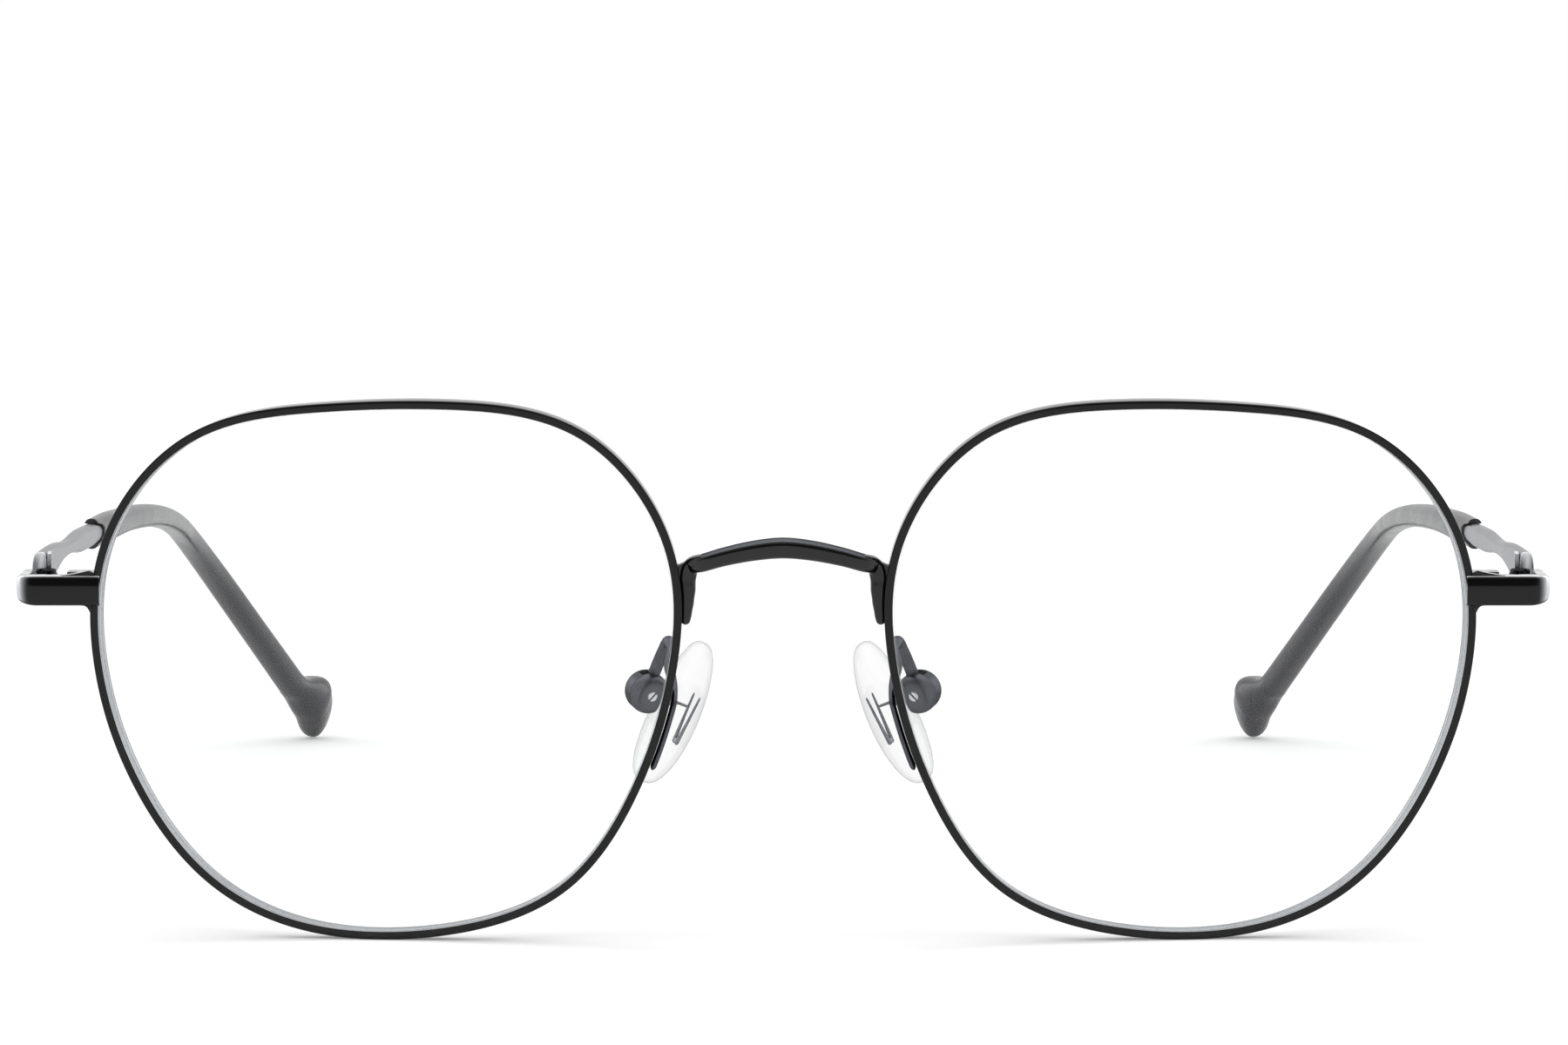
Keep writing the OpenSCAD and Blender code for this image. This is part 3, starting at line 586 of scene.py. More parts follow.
def domed(s, reach):
    """Share of full size near an end: a quarter circle sqrt(1 - (1 - s/reach)^2), and at least 0.3."""
    u = np.clip(1 - s / reach, 0, 1)
    return np.maximum(0.3, np.sqrt(1 - u ** 2))


def quarter(share, power):
    """Height of a superellipse's quarter at a share of its reach: (1 - share^p)^(1/p)."""
    return (1 - np.clip(share, 0, 1) ** power) ** (1 / power)


# Shells of each piece, for the right side or the whole bridge. The values above a function belong to shapes
# that the solids leave out, or have a little larger or smaller.

# The rim: lean of its walls per mm of depth, width of its split, crown of its front, half of groove and bevel
RIM_TOE = 0.08
RIM_GAP = 0.03
RIM_CROWN = 0.06
GROOVE_HALF = 0.45
BEVEL_HALF = 0.4


def rim_shells(edge):
    """The rim wire: a softened section with a V groove, carried once round the lens.

    Its walls lean in at the back.
    """
    span = RIM_GAP / 2 / float(np.linalg.norm(outline(LOCK_T + 0.5) - outline(LOCK_T - 0.5)))
    t = np.linspace(LOCK_T + span, LOCK_T + len(CORNERS) - span, 561)[:, None]
    half = RIM_DEPTH / 2
    section = softened(
        [[RUN, 0], [-RIM_LIP, -GROOVE_HALF], [-RIM_LIP, RIM_CROWN - half],
         [(RIM_WALL - RIM_LIP) / 2, -half], [RIM_WALL, RIM_CROWN - half], [RIM_WALL, half],
         [-RIM_LIP, half], [-RIM_LIP, GROOVE_HALF]],
        [0.04, 0.06, 0.7 * edge, 0.3, edge, edge, 0.6 * edge, 0.06])
    lean = RIM_TOE * abs(outward(t[:, 0])[:, :1]) * section[:, 1]
    return [tube(at_front(front_rim(t, section[:, 0] - lean, section[:, 1])))]


def lens_shells():
    """The lens: rings from its middle to its edge on both spherical faces, and the V bevel between them."""
    bevel = RIM_LIP + RUN
    t = LOCK_T + len(CORNERS) * np.arange(280) / 280
    edge = outline(t) - bevel * outward(t)
    shares = np.array([0.12, 0.25, 0.4, 0.55, 0.7, 0.82, 0.92, 1])[:, None, None]
    flat = shares * edge
    faces = []
    for way in (1, -1):
        depth = sag(flat[..., 0], flat[..., 1]) + way * LENS_T / 2
        faces.append(at_front(lens_to_front(np.stack([flat[..., 0], depth, flat[..., 1]], -1))))
    out = np.array([[-bevel], [0], [-bevel]])
    bevels = at_front(front_rim(t[None], out, np.array([[BEVEL_HALF], [0], [-BEVEL_HALF]])))
    rings = np.concatenate([faces[0], bevels, faces[1][::-1]])
    poles = at_front(lens_to_front(np.array([[0, LENS_T / 2, 0], [0, -LENS_T / 2, 0.0]])))
    return [tube(rings, poles[0], poles[1])]


# How far a bridge foot sinks into the rim's side
BRAZE = 0.1


def foot_width(z):
    """Width of a bridge foot at height z, from its narrow low end to its full width at the top."""
    return FOOT_W * (0.5 + 0.57 * (z - FOOT_END) / (FOOT_TOP - FOOT_END))


def bridge_shells():
    """The bridge: a foot down each rim and an arched bar, one flattened round section along a smooth path."""
    foot_z = np.linspace(FOOT_END, FOOT_TOP, 5)
    feet = front_rim(outline_at(foot_z, NOSE_SIDE), RIM_WALL - BRAZE + foot_width(foot_z) / 2, FOOT_BACK)
    head = feet[-1]
    end_up = BRIDGE_UP - BRIDGE_RISE
    half = np.concatenate([feet, [
        [head[0] + 0.45, head[1] - 0.35, end_up - 0.5], [head[0] + 1.5, -0.55, end_up - 0.08],
        [head[0] * 0.6, -0.95, end_up + 0.5], [head[0] * 0.3, -1.1, end_up + 1.03],
    ]])
    path = np.concatenate([half, [[0, -1.15, end_up + 1.27]], half[::-1] * [-1, 1, 1]])
    last = len(path) - 1
    t = np.linspace(0, last, 12 * last + 1)
    near = np.minimum(t, last - t)
    widths = [[i, w] for i, w in enumerate(foot_width(foot_z) + BRAZE)]
    widths += [[5, 1.5], [6, BRIDGE_BAR_H - 0.25], [len(half), BRIDGE_BAR_H]]
    size = domed(near, 0.35)
    sections = rounded(40, eased(widths, near) / 2 * size, BRIDGE_BAR_D / 2 * size, 3)
    return [tube(at_front(path_rings(path, t, sections)))]


# The end piece: how much higher its underside and lower its top are past the corner, its crown, and where it
# grows to its full thickness beside the rim
END_RISE = 0.5
END_FALL = 0.15
END_CROWN = 0.15
END_WALL = OUTER_X + RIM_SIDE_X - SEAT


def end_piece_shells():
    """The end piece: a crowned strip carried along its lap, face, corner and leg.

    Round the corner it grows narrower by 1 - cos a, more below than above.
    """
    lap = OUTER_X + LOCK_POINT[0] + (RIM_WALL + RIM_LIP) * 0.8
    leg = END_REACH + BUTT_AT
    high = END_H / 2
    section = softened(
        [[END_CROWN, -high], [0, 0], [END_CROWN, high], [END_T, high], [END_T, -high]],
        [0.35, 0.9, 0.35, 0.15, 0.15], 8)
    thin = np.stack([np.minimum(section[:, 0], END_LAP_T), section[:, 1]], -1)
    angle = np.radians(np.linspace(-90, -180, 25))
    corner = END_CORNER * (1 + circle(angle))
    places = np.concatenate([
        [[lap, 0], [lap - 0.06, 0], [END_WALL, 0], [END_WALL, 0], [(END_WALL + END_CORNER) / 2, 0]], corner,
        [[0, (END_CORNER + leg) / 2], [0, leg - 0.08], [0, leg]]])
    normals = np.concatenate([[[0, 1]] * 5, -circle(angle), [[1, 0]] * 3])
    sections = np.stack([thin] * 3 + [section] * (len(places) - 3))
    turn = np.concatenate([np.zeros(5), 1 - np.cos(angle + np.pi / 2), np.ones(3)])[:, None]
    up = sections[..., 1] / high
    sections[..., 1] -= turn * np.where(up < 0, END_RISE, END_FALL) * up
    middle = np.array([END_T / 2, 0])
    sections[-1] = middle + (sections[-1] - middle) * [0.88, 0.95]
    sections[0] = sections[0] * [1, 0.96] + [0.02, 0]
    flat = places[:, None] + normals[:, None] * sections[..., :1]
    rings = np.concatenate([flat, sections[..., 1:]], -1)
    return [tube(at_end_piece(rings))]


def braze_shells():
    """Brazed fillets below and above the end piece: curves rise * u^p from its edge to the rim's side."""
    shells = []
    for way, reach, rise, power in ((-1, 0.75, 0.6, 3), (1, 2.6, 0.45, 1.5)):
        u = np.linspace(0, 1, 13)
        z = way * (END_H / 2 - 0.03 + rise * u ** power)
        rim_x = OUTER_X + leaned(front_rim(outline_at(HINGE_UP + z, TEMPLE_SIDE), RIM_WALL - 0.08, 0))[:, 0]
        top = np.stack([np.minimum(END_WALL - reach * (1 - u), rim_x), z], -1)
        inside = way * (END_H / 2 - 0.3)
        root = [
            [rim_x[-1], way * (END_H / 2 + 0.5 * rise)],
            [END_WALL + 0.02, inside], [END_WALL - reach, inside],
        ]
        shells.append(plate(np.concatenate([top, root]), (0.25, END_T - 0.05)))
    return placed(shells, at_end_piece)


def web_shells():
    """The braze that fills the corner between each rim and the bridge: a concave arc on a flat web."""
    z = np.linspace(FOOT_TOP - 1.6, FOOT_TOP + 1.1, 9)
    rim = front_rim(outline_at(z, NOSE_SIDE), RIM_WALL - 0.06, FOOT_BACK)
    top = np.array([rim[-1, 0], z[-1]])
    inner = rim[4, 0] + FOOT_W * 0.6
    knee = np.array([inner + 0.3, BRIDGE_UP - BRIDGE_RISE + 0.3])
    u = np.linspace(0.1, 1, 9)[:, None]
    arc = top + (knee - top) * np.concatenate([u, u ** 1.4], 1)
    foot = [[inner + 0.3, FOOT_TOP + 0.8], [rim[0, 0] + 0.5, z[0]]]
    loop = np.concatenate([np.stack([rim[:, 0], z], -1), arc, foot])
    middle = rim[:, 1].mean()
    web = plate(loop, (middle - 0.62, middle + 0.6))
    return placed(mirrored([web], 1) + mirrored([web], -1), at_front)


def arm_shells():
    """The pad arm: a flat foot along the rim, then a round wire that loops back to the pad's box."""
    foot_z = np.linspace(ARM_FOOT_LOW, ARM_FOOT_HIGH, 5)
    foot = front_rim(outline_at(foot_z, NOSE_SIDE), RIM_WALL + SEAT + ARM_FOOT_T / 2, 0.45)
    loop = PAD_PLACE + [[2.35, -3.8, 4.4], [1.95, -2.65, 4.85], [1.5, -1.7, 3.9], [1.1, -0.95, 2.9]]
    end = PAD_PLACE + unit(np.array([0.8, -0.4, 2.1])) * (BOX_R + SEAT)
    path = np.concatenate([foot, foot[-1] + [[-0.02, 1.3, 1], [-0.4, 2.7, 2.6]], loop, [end]])
    t = np.linspace(0, len(path) - 1, 10 * (len(path) - 1) + 1)
    size = domed(t, 0.3) * ARM_D / 2
    flat = eased([[4.5, ARM_FOOT_T / ARM_D], [6.5, 1]], t)
    return [tube(at_front(path_rings(path, t, rounded(28, size * flat, size, 2.2))))]


# The pad's box and core: where the cheeks are cut flat, half the box's width, the cheeks' roundness, the
# tab's radius and thickness, and how far the legs stand forward of the tab
BOX_FRONT = 1.1
BOX_HALF = 1.47
BOX_POWER = 3.5
CORE_TAB_R = 1.1
CORE_TAB_T = 0.8
CORE_FORWARD = 0.75


def drum_shells():
    """The pad's box: two cheeks beside the tab's slot, cut flat in front, and a block behind the slot.

    A cheek's radius at depth y is R (1 - (y/h)^p)^(1/p).
    """
    disc = circle(full_turn(80))
    slot_half = CORE_TAB_T / 2 + RUN
    depths = BOX_HALF - (BOX_HALF - slot_half) * (1 - np.cos(np.radians(np.linspace(4, 90, 16))))
    radii = BOX_R * quarter(depths / (BOX_HALF + 0.01), BOX_POWER)
    flat = disc * radii[:, None, None]
    front = BOX_FRONT - 0.25 * (1 - radii / radii.max())[:, None]
    depths = np.broadcast_to(depths[:, None], flat.shape[:2])
    cheek = np.stack([np.minimum(flat[..., 0], front), depths, flat[..., 1]], -1)
    back = disc[disc[:, 0] * BOX_R < -CORE_TAB_R - 0.2] * BOX_R
    block = np.stack([np.insert(back, 1, way * (slot_half + 0.1), axis=1) for way in (-1, 1)])
    return placed([tube(cheek), tube(cheek * [1, -1, 1]), tube(block)], at_pad)


def core_shells():
    """The pad's steel core: a round tab, a neck and two thin legs that run together inside the pad."""
    tab = CORE_TAB_R * circle(np.radians(np.linspace(25, 335, 40)))
    inside = PAD_OUT + 0.9
    neck = [[PAD_OUT - 0.7, -0.4], [PAD_OUT - 0.2, -0.07], [inside, -0.06],
            [inside, 0.06], [PAD_OUT - 0.2, 0.07], [PAD_OUT - 0.7, 0.4]]
    shells = [plate(np.concatenate([tab, neck]), (-CORE_TAB_T / 2, CORE_TAB_T / 2))]
    low, high = -PAD_DROP - 2.5, -PAD_DROP + 2.3
    heights = np.array([high, high - 1.6, high - 3.2, low])
    t = np.linspace(0, 3, 31)
    size = (0.08 + 0.03 * t) * np.minimum(domed(t, 0.1), domed(3 - t, 0.1))
    for way in (-1, 1):
        spread = way * np.array([0.7, 0.6, 0.45, 0.3]) - CORE_FORWARD
        path = np.stack([np.full(4, inside), spread, heights], -1)
        shells.append(tube(path_rings(path, t, rounded(16, size, size * 1.3, 2.5))))
    up, thick = rounded(16, 0.28, 0.14, 3)[0].T
    rings = [
        np.stack([thick + inside, np.full(16, reach - CORE_FORWARD), up + low + 0.3], -1)
        for reach in (-0.4, -0.36, 0.36, 0.4)
    ]
    shells.append(tube(np.stack(rings)))
    return placed(shells, at_pad)


def pad_shells():
    """The clear pad: rounded sections from pole to pole, bowed by 0.006 z^2.

    They are as thick as cos^0.6 and as wide as cos^0.9 of the angle.
    """
    angle = np.radians(np.linspace(-88.5, 88.5, 60))
    u, swell = np.sin(angle), np.cos(angle)
    z = PAD_L / 2 * u
    sections = rounded(56, PAD_T / 2 * swell ** 0.6, PAD_W / 2 * swell ** 0.9 * (1 - 0.1 * u), 2.3)
    x = PAD_OUT + 0.05 + sections[..., 0] - 0.006 * z[:, None] ** 2
    rings = np.stack([x, sections[..., 1], np.broadcast_to(z[:, None] - PAD_DROP, x.shape)], -1)
    return [tube(at_pad(rings))]


# The flare's height as it looks, where the tongue runs into the core wire, and the butt's lean
FLARE_H = 2.05
TONGUE_END = TONGUE_AT + TONGUE_L * quarter(CORE_H / FLARE_H, TONGUE_POWER)
BUTT_SLANT = 0.4


def bar_shells():
    """The metal temple: eased heights to a waist and a flare, a superellipse tongue, then the core wire.

    Above the end piece its butt leans back by a share of the height.
    """
    start = BUTT_AT + 0.15
    s = np.concatenate([
        [start, start + 0.04, start + 0.14], np.linspace(start + 0.5, TONGUE_AT, 60),
        TONGUE_AT + (TONGUE_END - TONGUE_AT) * np.sin(np.radians(np.arange(2, 91, 2))),
        np.linspace(TONGUE_END + 0.5, TONGUE_END + 3, 8), np.linspace(TONGUE_END + 6, BEND_AT, 24),
        np.linspace(BEND_AT + 1.5, BEND_END, 20), np.linspace(BEND_END + 4, CORE_END, 5)])
    root = eased([[0, ROOT_H], [WAIST_AT, WAIST_H], [TONGUE_AT, FLARE_H]], s)
    tongue = FLARE_H * quarter((s - TONGUE_AT) / TONGUE_L, TONGUE_POWER)
    height = np.where(s < TONGUE_AT, root, np.maximum(CORE_H, tongue))
    thickness = eased([[TONGUE_END, BAR_T], [TONGUE_END + 3, CORE_T]], s)
    shift = eased([[0, (ROOT_H - END_H) / 2 + 0.2 - TEMPLE_UP], [WAIST_AT - 3, 0]], s)
    size = np.ones_like(s)
    size[:2] = 0.86, 0.95
    sections = rounded(64, height / 2 * size ** 0.4, thickness / 2 * size, TONGUE_POWER, shift)
    above = np.clip(sections[..., 0] - END_H / 2 + TEMPLE_UP, 0, None)
    back = BUTT_SLANT * above * np.clip(1 - (s - start) / 4, 0, 1)[:, None]
    return [tube(at_temple(temple_rings(s[:, None] + back, sections)))]


# The sleeve's thickness at its mouth, where the bulb starts to close and ends, and the height of its end
SLEEVE_MOUTH_T = 1.6
BULB_FULL = BULB_AT + 6.2
BULB_END = TEMPLE_LEN - 0.3
BULB_MIDDLE = -0.5


def bulb_sections(s, count):
    """Sections towards the end of the bulb: full size times (1 - u^p)^(1/p), with a larger p below."""
    full_at = np.minimum(s, BULB_FULL)
    u = np.clip((s - BULB_FULL) / (BULB_END - BULB_FULL), 0, 1)[:, None]
    full = rounded(count, eased(TIP_HEIGHT, full_at) / 2, eased(TIP_THICKNESS, full_at) / 2, TIP_POWER)
    edge = full[..., 0] + eased(BULB_UP, full_at)[:, None]
    tipped = BULB_MIDDLE + (edge - BULB_MIDDLE) * quarter(u, np.where(edge > 0, 2.0, 3.0))
    sideways = full[..., 1] * quarter(u, 2.4) + eased(BULB_IN, s)[:, None]
    return np.stack([tipped, sideways], -1)


def tip_shells():
    """The temple tip: lines along a sleeve to the bulb, which start at the superellipse round the tongue."""
    count = 96
    shape = circle(full_turn(count))
    shape = np.sign(shape) * abs(shape) ** (2 / TIP_POWER)
    slot = quarter(abs(shape[:, 0]) * TIP_H / (FLARE_H + 2 * RUN), TONGUE_POWER)
    first = np.maximum(MOUTH_AT, TONGUE_AT + (TONGUE_L + RUN) * slot)
    join = TONGUE_AT + TONGUE_L + 8
    opening = first + 0.14 + (join - first - 0.14) * np.linspace(0, 1, 20)[:, None] ** 1.5
    places = np.concatenate([[first, first], opening])
    thickness = eased([[MOUTH_AT, SLEEVE_MOUTH_T], [join, TIP_T]], places)
    thickness[0] = 0
    thickness[1] *= 0.93
    wall = np.stack([eased(TIP_HEIGHT, places) / 2, thickness / 2], -1) * shape
    rest = np.concatenate([
        np.linspace(join + 2, BEND_AT, 32), np.linspace(BEND_AT + 1.2, BEND_END, 20),
        np.linspace(BEND_END + 2, BULB_AT, 10), np.linspace(BULB_AT + 0.3, BULB_FULL, 22),
        BULB_FULL + (BULB_END - BULB_FULL) * np.sin(np.radians(np.arange(4, 89, 4)))])
    places = np.concatenate([places, np.broadcast_to(rest[:, None], (len(rest), count))])
    sections = np.concatenate([wall, bulb_sections(rest, count)])
    middle = [BULB_MIDDLE, float(eased(BULB_IN, np.array(BULB_END)))]
    pole = temple_rings(np.array([BULB_END]), np.array([[middle]]))
    return [tube(at_temple(temple_rings(places, sections)), end=at_temple(pole)[0, 0])]


def hinge_screw_shells(slot_w):
    """The hinge screw: a pin through the barrels and a flat slotted head."""
    top = END_H / 2 - SCREW_HEAD_H
    head = slotted_head(0.88 * BARREL_R, SCREW_HEAD_H, slot_w, 0.16, 62)
    pin = shank(HINGE_SCREW_R, -END_H / 2, top + 0.02)
    return placed(placed([head], lambda points: points + [0, 0, top]) + [pin], at_hinge)


def lock_screw_shells(slot_w):
    """The rim lock's screw: a slotted head sunk in the lower half, driven from below."""
    low = -RIM_SPLIT / 2 - LOCK_HALF_H
    head = slotted_head(LOCK_HEAD_R, LOCK_HEAD_H, slot_w, 0.18, 30)
    flipped = placed([head], lambda points: turned(points, 0, 180) + [0, 0, low + LOCK_HEAD_H])
    pin = shank(LOCK_SCREW_R, low + LOCK_HEAD_H - 0.05, -low)
    return placed(flipped + [pin], at_lock_screw)


def pad_screw_shells(slot_w):
    """The pad screw: a pin across the box and a slotted head on the front side."""
    head = slotted_head(PAD_SCREW_R + 0.15, 0.38, slot_w, 0.16, 70)
    pin = shank(PAD_SCREW_R, -1.45, 1.15)
    shells = placed([head], lambda points: points + [0, 0, 1.1 + SEAT]) + [pin]
    return placed(shells, lambda points: at_pad(turned(points, 0, 90)))


# Finishes

# The span in which noise mostly lies, and settings that several nodes share
NOISE_SPAN = {"From_Min": 0.35, "From_Max": 0.65}
SMOOTH_STEP = {"interpolation_type": "SMOOTHSTEP"}
COLOUR_MIX = {"data_type": "RGBA"}


def add_node(tree, kind, settings=None, **inputs):
    """A node with its own settings; an input is a value, or the socket it is linked from."""
    node = tree.nodes.new(kind)
    for name, value in (settings or {}).items():
        setattr(node, name, value)
    for name, value in inputs.items():
        socket = node.inputs[int(name[1:]) if name[1:].isdigit() else name.replace("_", " ")]
        if isinstance(value, bpy.types.NodeSocket):
            tree.links.new(value, socket)
        else:
            socket.default_value = value
    return node


def new_finish(name, **inputs):
    """A material with some inputs of its shader set: its tree, its shader and the object's coordinates."""
    material = bpy.data.materials.new(name)
    material.use_nodes = True
    tree = material.node_tree
    shader = tree.nodes["Principled BSDF"]
    for socket, value in inputs.items():
        shader.inputs[socket.replace("_", " ")].default_value = value
    return tree, shader, add_node(tree, "ShaderNodeTexCoord").outputs["Object"]


def grain(tree, coordinates, size, detail=3.0, stretch=(1, 1, 1)):
    """Noise whose grains are about that many millimetres across, stretched along an axis where asked."""
    mapped = add_node(tree, "ShaderNodeMapping", Vector=coordinates, Scale=stretch).outputs["Vector"]
    noise = add_node(tree, "ShaderNodeTexNoise", Vector=mapped, Scale=1 / (size * MM), Detail=detail)
    return noise.outputs["Fac"]


def shades(tree, coordinates, colour, size, dark, light, detail=3.0):
    """A colour that goes from a darker to a lighter share of itself over grains of a real size."""
    noise = grain(tree, coordinates, size, detail)
    share = add_node(tree, "ShaderNodeMapRange", Value=noise, **NOISE_SPAN).outputs["Result"]
    ends = [(*[min(1.0, c * part) for c in colour[:3]], 1.0) for part in (dark, light)]
    return add_node(tree, "ShaderNodeMix", COLOUR_MIX, _0=share, _6=ends[0], _7=ends[1]).outputs[2]


def link_skin(tree, shader, colour, fine, rough, bump=0.0, depth=0.01):
    """A colour to the shader, and fine grains as roughness between two values and a bump of a depth in mm."""
    tree.links.new(colour, shader.inputs["Base Color"])
    low, high = rough
    roughness = add_node(tree, "ShaderNodeMapRange", Value=fine, To_Min=low, To_Max=high, **NOISE_SPAN)
    tree.links.new(roughness.outputs["Result"], shader.inputs["Roughness"])
    if bump:
        raised = add_node(tree, "ShaderNodeBump", Height=fine, Strength=bump, Distance=depth * MM)
        tree.links.new(raised.outputs["Normal"], shader.inputs["Normal"])


def metal_finish(name, colour, rough, grains=0.12, stretch=(1, 1, 1), vary=0.04, bump=0.04,
                 metallic=1.0, level=0.5, edge=1.0):
    """A painted or plated metal: broad shades of its colour, and fine grains of a real size."""
    tree, shader, coordinates = new_finish(
        name, Metallic=metallic, Specular_IOR_Level=level, Specular_Tint=(edge, edge, edge, 1))
    broad = shades(tree, coordinates, colour, 6, 1 - vary, 1 + vary)
    link_skin(tree, shader, broad, grain(tree, coordinates, grains, 4.0, stretch), rough, bump)


def clear_finish(name, colour, edge, roughness, wave, coat):
    """A clear moulding with painted shade where it is seen at a grazing angle along its skin, and a faint
    wave from the mould.
    """
    tree, shader, coordinates = new_finish(
        name, Transmission_Weight=1.0, IOR=1.0, Coat_Weight=coat, Coat_Roughness=0.0, Coat_IOR=1.2)
    # Towards grazing angles the colour goes to the edge colour: painted shade
    along = add_node(tree, "ShaderNodeLayerWeight", Blend=0.5).outputs["Facing"]
    skin = add_node(tree, "ShaderNodeMapRange", SMOOTH_STEP, Value=along, From_Min=0.3).outputs["Result"]
    clear = shades(tree, coordinates, colour, 8, 0.99, 1)
    edge_shaded = add_node(tree, "ShaderNodeMix", COLOUR_MIX, _0=skin, _6=clear, _7=edge).outputs[2]
    link_skin(tree, shader, edge_shaded, grain(tree, coordinates, 2.5), (roughness, 1.5 * roughness), wave, 0.02)


def plastic_finish(name, colour):
    """Moulded satin plastic: an even tone, and a soft gloss that varies a little along it."""
    tree, shader, coordinates = new_finish(name)
    even = shades(tree, coordinates, colour, 9, 0.95, 1.05, 1.0)
    link_skin(tree, shader, even, grain(tree, coordinates, 4, 1.0), (0.27, 0.3))


def painted_highlight_finish(name, lacquer, metal):
    """Black lacquer with bright metal painted on as a highlight.

    The metal shows where the skin turns away from the front and doesn't face down.
    """
    tree, shader, _ = new_finish(name)
    normal = add_node(tree, "ShaderNodeTexCoord").outputs["Normal"]
    turn = add_node(tree, "ShaderNodeSeparateXYZ", Vector=normal).outputs
    away = add_node(tree, "ShaderNodeMapRange", SMOOTH_STEP, Value=turn["Y"], From_Min=-0.93, From_Max=-0.55)
    above = add_node(tree, "ShaderNodeMapRange", SMOOTH_STEP, Value=turn["Z"], From_Min=-0.45, From_Max=-0.1)
    highlight_share = add_node(tree, "ShaderNodeMath", {"operation": "MULTIPLY"},
                    _0=away.outputs["Result"], _1=above.outputs["Result"]).outputs["Value"]
    tree.links.new(highlight_share, shader.inputs["Metallic"])
    for socket, lacquered, highlighted in (("Roughness", 0.08, 0.17), ("Specular IOR Level", 0.28, 0.5)):
        value = add_node(tree, "ShaderNodeMapRange", Value=highlight_share, To_Min=lacquered, To_Max=highlighted)
        tree.links.new(value.outputs["Result"], shader.inputs[socket])
    mixed = add_node(tree, "ShaderNodeMix", COLOUR_MIX, _0=highlight_share, _6=lacquer, _7=metal)
    tree.links.new(mixed.outputs[2], shader.inputs["Base Color"])


def make_finishes(colours):
    """Every finish, from the colours of the panel."""
    # Stoved black lacquer on nickel silver wire: deep and glossy, dark where it faces the eye
    metal_finish("black_lacquer", colours.lacquer, (0.06, 0.1), grains=0.8, vary=0.2, bump=0.02,
                 metallic=0.0, level=0.28)
    # A thicker coat of it on the bridge, glossier where it mirrors what hangs above
    metal_finish("thick_black_lacquer", colours.lacquer, (0.1, 0.14), grains=0.8, vary=0.2, bump=0.02,
                 metallic=0.0, level=0.42)
    # Light nickel on the faces inside the rims, a painted reflection; rough, and darker towards grazing light
    metal_finish("painted_reflection_nickel", colours.gunmetal, (0.26, 0.36), vary=0.03, bump=0.03, edge=0.36)
    # Satin gunmetal plating, brushed along the temple, which darkens towards grazing light
    metal_finish("gunmetal_plate", colours.gunmetal, (0.24, 0.34), stretch=(1, 0.06, 1), vary=0.05, edge=0.62)
    # Black lacquer on the end pieces, with bright nickel on their top and sides as a painted highlight
    painted_highlight_finish("black_lacquer_painted_highlight", colours.lacquer, colours.steel)
    # Darker plating on the small pad fittings; on the bridge's top faces near the middle it is a painted
    # highlight
    metal_finish("dark_gunmetal_plate_and_highlight", colours.dark_gunmetal, (0.28, 0.4), grains=0.15, vary=0.08, edge=0.4)
    # Screws turned from bright steel
    metal_finish("turned_steel", colours.steel, (0.2, 0.3), grains=0.1, vary=0.06)
    # Hinge screws of blackened steel
    metal_finish("blackened_steel", colours.dark_steel, (0.2, 0.3), grains=0.1, vary=0.08, edge=0.5)
    # Stamped steel core, seen dimly through the pad
    metal_finish("stamped_steel", colours.core, (0.3, 0.45), grains=0.2, vary=0.08, edge=0.5)
    # Cast and polished optical resin, so thin that it hardly bends light, coated to cut reflections
    clear_finish("clear_resin_lens", colours.lens, colours.lens, 0.0, 0.0, 1.0)
    # Moulded silicone, a little soft on the surface, with painted shade along its edges
    clear_finish("clear_silicone", colours.pad, colours.pad_edge, 0.03, 0.1, 0.6)
    # Moulded acetate with a satin skin
    plastic_finish("charcoal_acetate", colours.tip)


# Values a user would change

def colour_value(name, description, code):
    """A colour on the panel, from its sRGB hex code."""
    return bpy.props.FloatVectorProperty(
        name=name, description=description, subtype="COLOR", size=4, min=0, max=1, default=linear(code))


def length_value(name, description, millimetres):
    """A length on the panel, shown in the scene's units."""
    return bpy.props.FloatProperty(
        name=name, description=description, unit="LENGTH", min=0, default=millimetres * MM)


def level_value(name, description, level, unit="NONE"):
    """A strength on the panel."""
    return bpy.props.FloatProperty(name=name, description=description, unit=unit, default=level, min=0)


class EyeglassesColours(bpy.types.PropertyGroup):
    """Colours of the finishes."""
    lacquer: colour_value("Lacquer", "Black lacquer of the front", "#0c0c0d")
    # Inside the rims this colour is a painted reflection
    gunmetal: colour_value("Gunmetal", "Plating of the temples, and inside the rims", "#babbbe")
    dark_gunmetal: colour_value("Dark gunmetal", "Plating of the pad arms and boxes", "#54555a")
    # On the sides and top of the end pieces this colour is a painted highlight
    steel: colour_value("Steel", "Screws of the pads and rim locks, and sides of the end pieces", "#c4c5c8")
    dark_steel: colour_value("Dark steel", "Hinge screws", "#2e2e31")
    core: colour_value("Pad core", "Steel core inside a pad", "#7e7f83")
    lens: colour_value("Lens", "Clear lens", "#fdfefe")
    pad: colour_value("Pad", "Clear nose pad", "#f3f3f3")
    # Painted shade along the pad's edges, where it is seen at a grazing angle
    pad_edge: colour_value("Pad edge", "Clear nose pad, seen along its skin", "#b0b1b2")
    tip: colour_value("Temple tip", "Charcoal temple tip", "#2c2c30")
    floor: colour_value("Floor", "Pale floor", "#f2f2f2")


class EyeglassesSizes(bpy.types.PropertyGroup):
    """Sizes of the fine shapes that the looks add."""
    rim_edge: length_value("Rim edge", "Rounding of the rim's outer edges", 0.13)
    hinge_slot: length_value("Hinge screw slot", "Width of the slot in a hinge screw", 0.3)
    small_slot: length_value("Small screw slot", "Width of the slot in a pad or lock screw", 0.18)


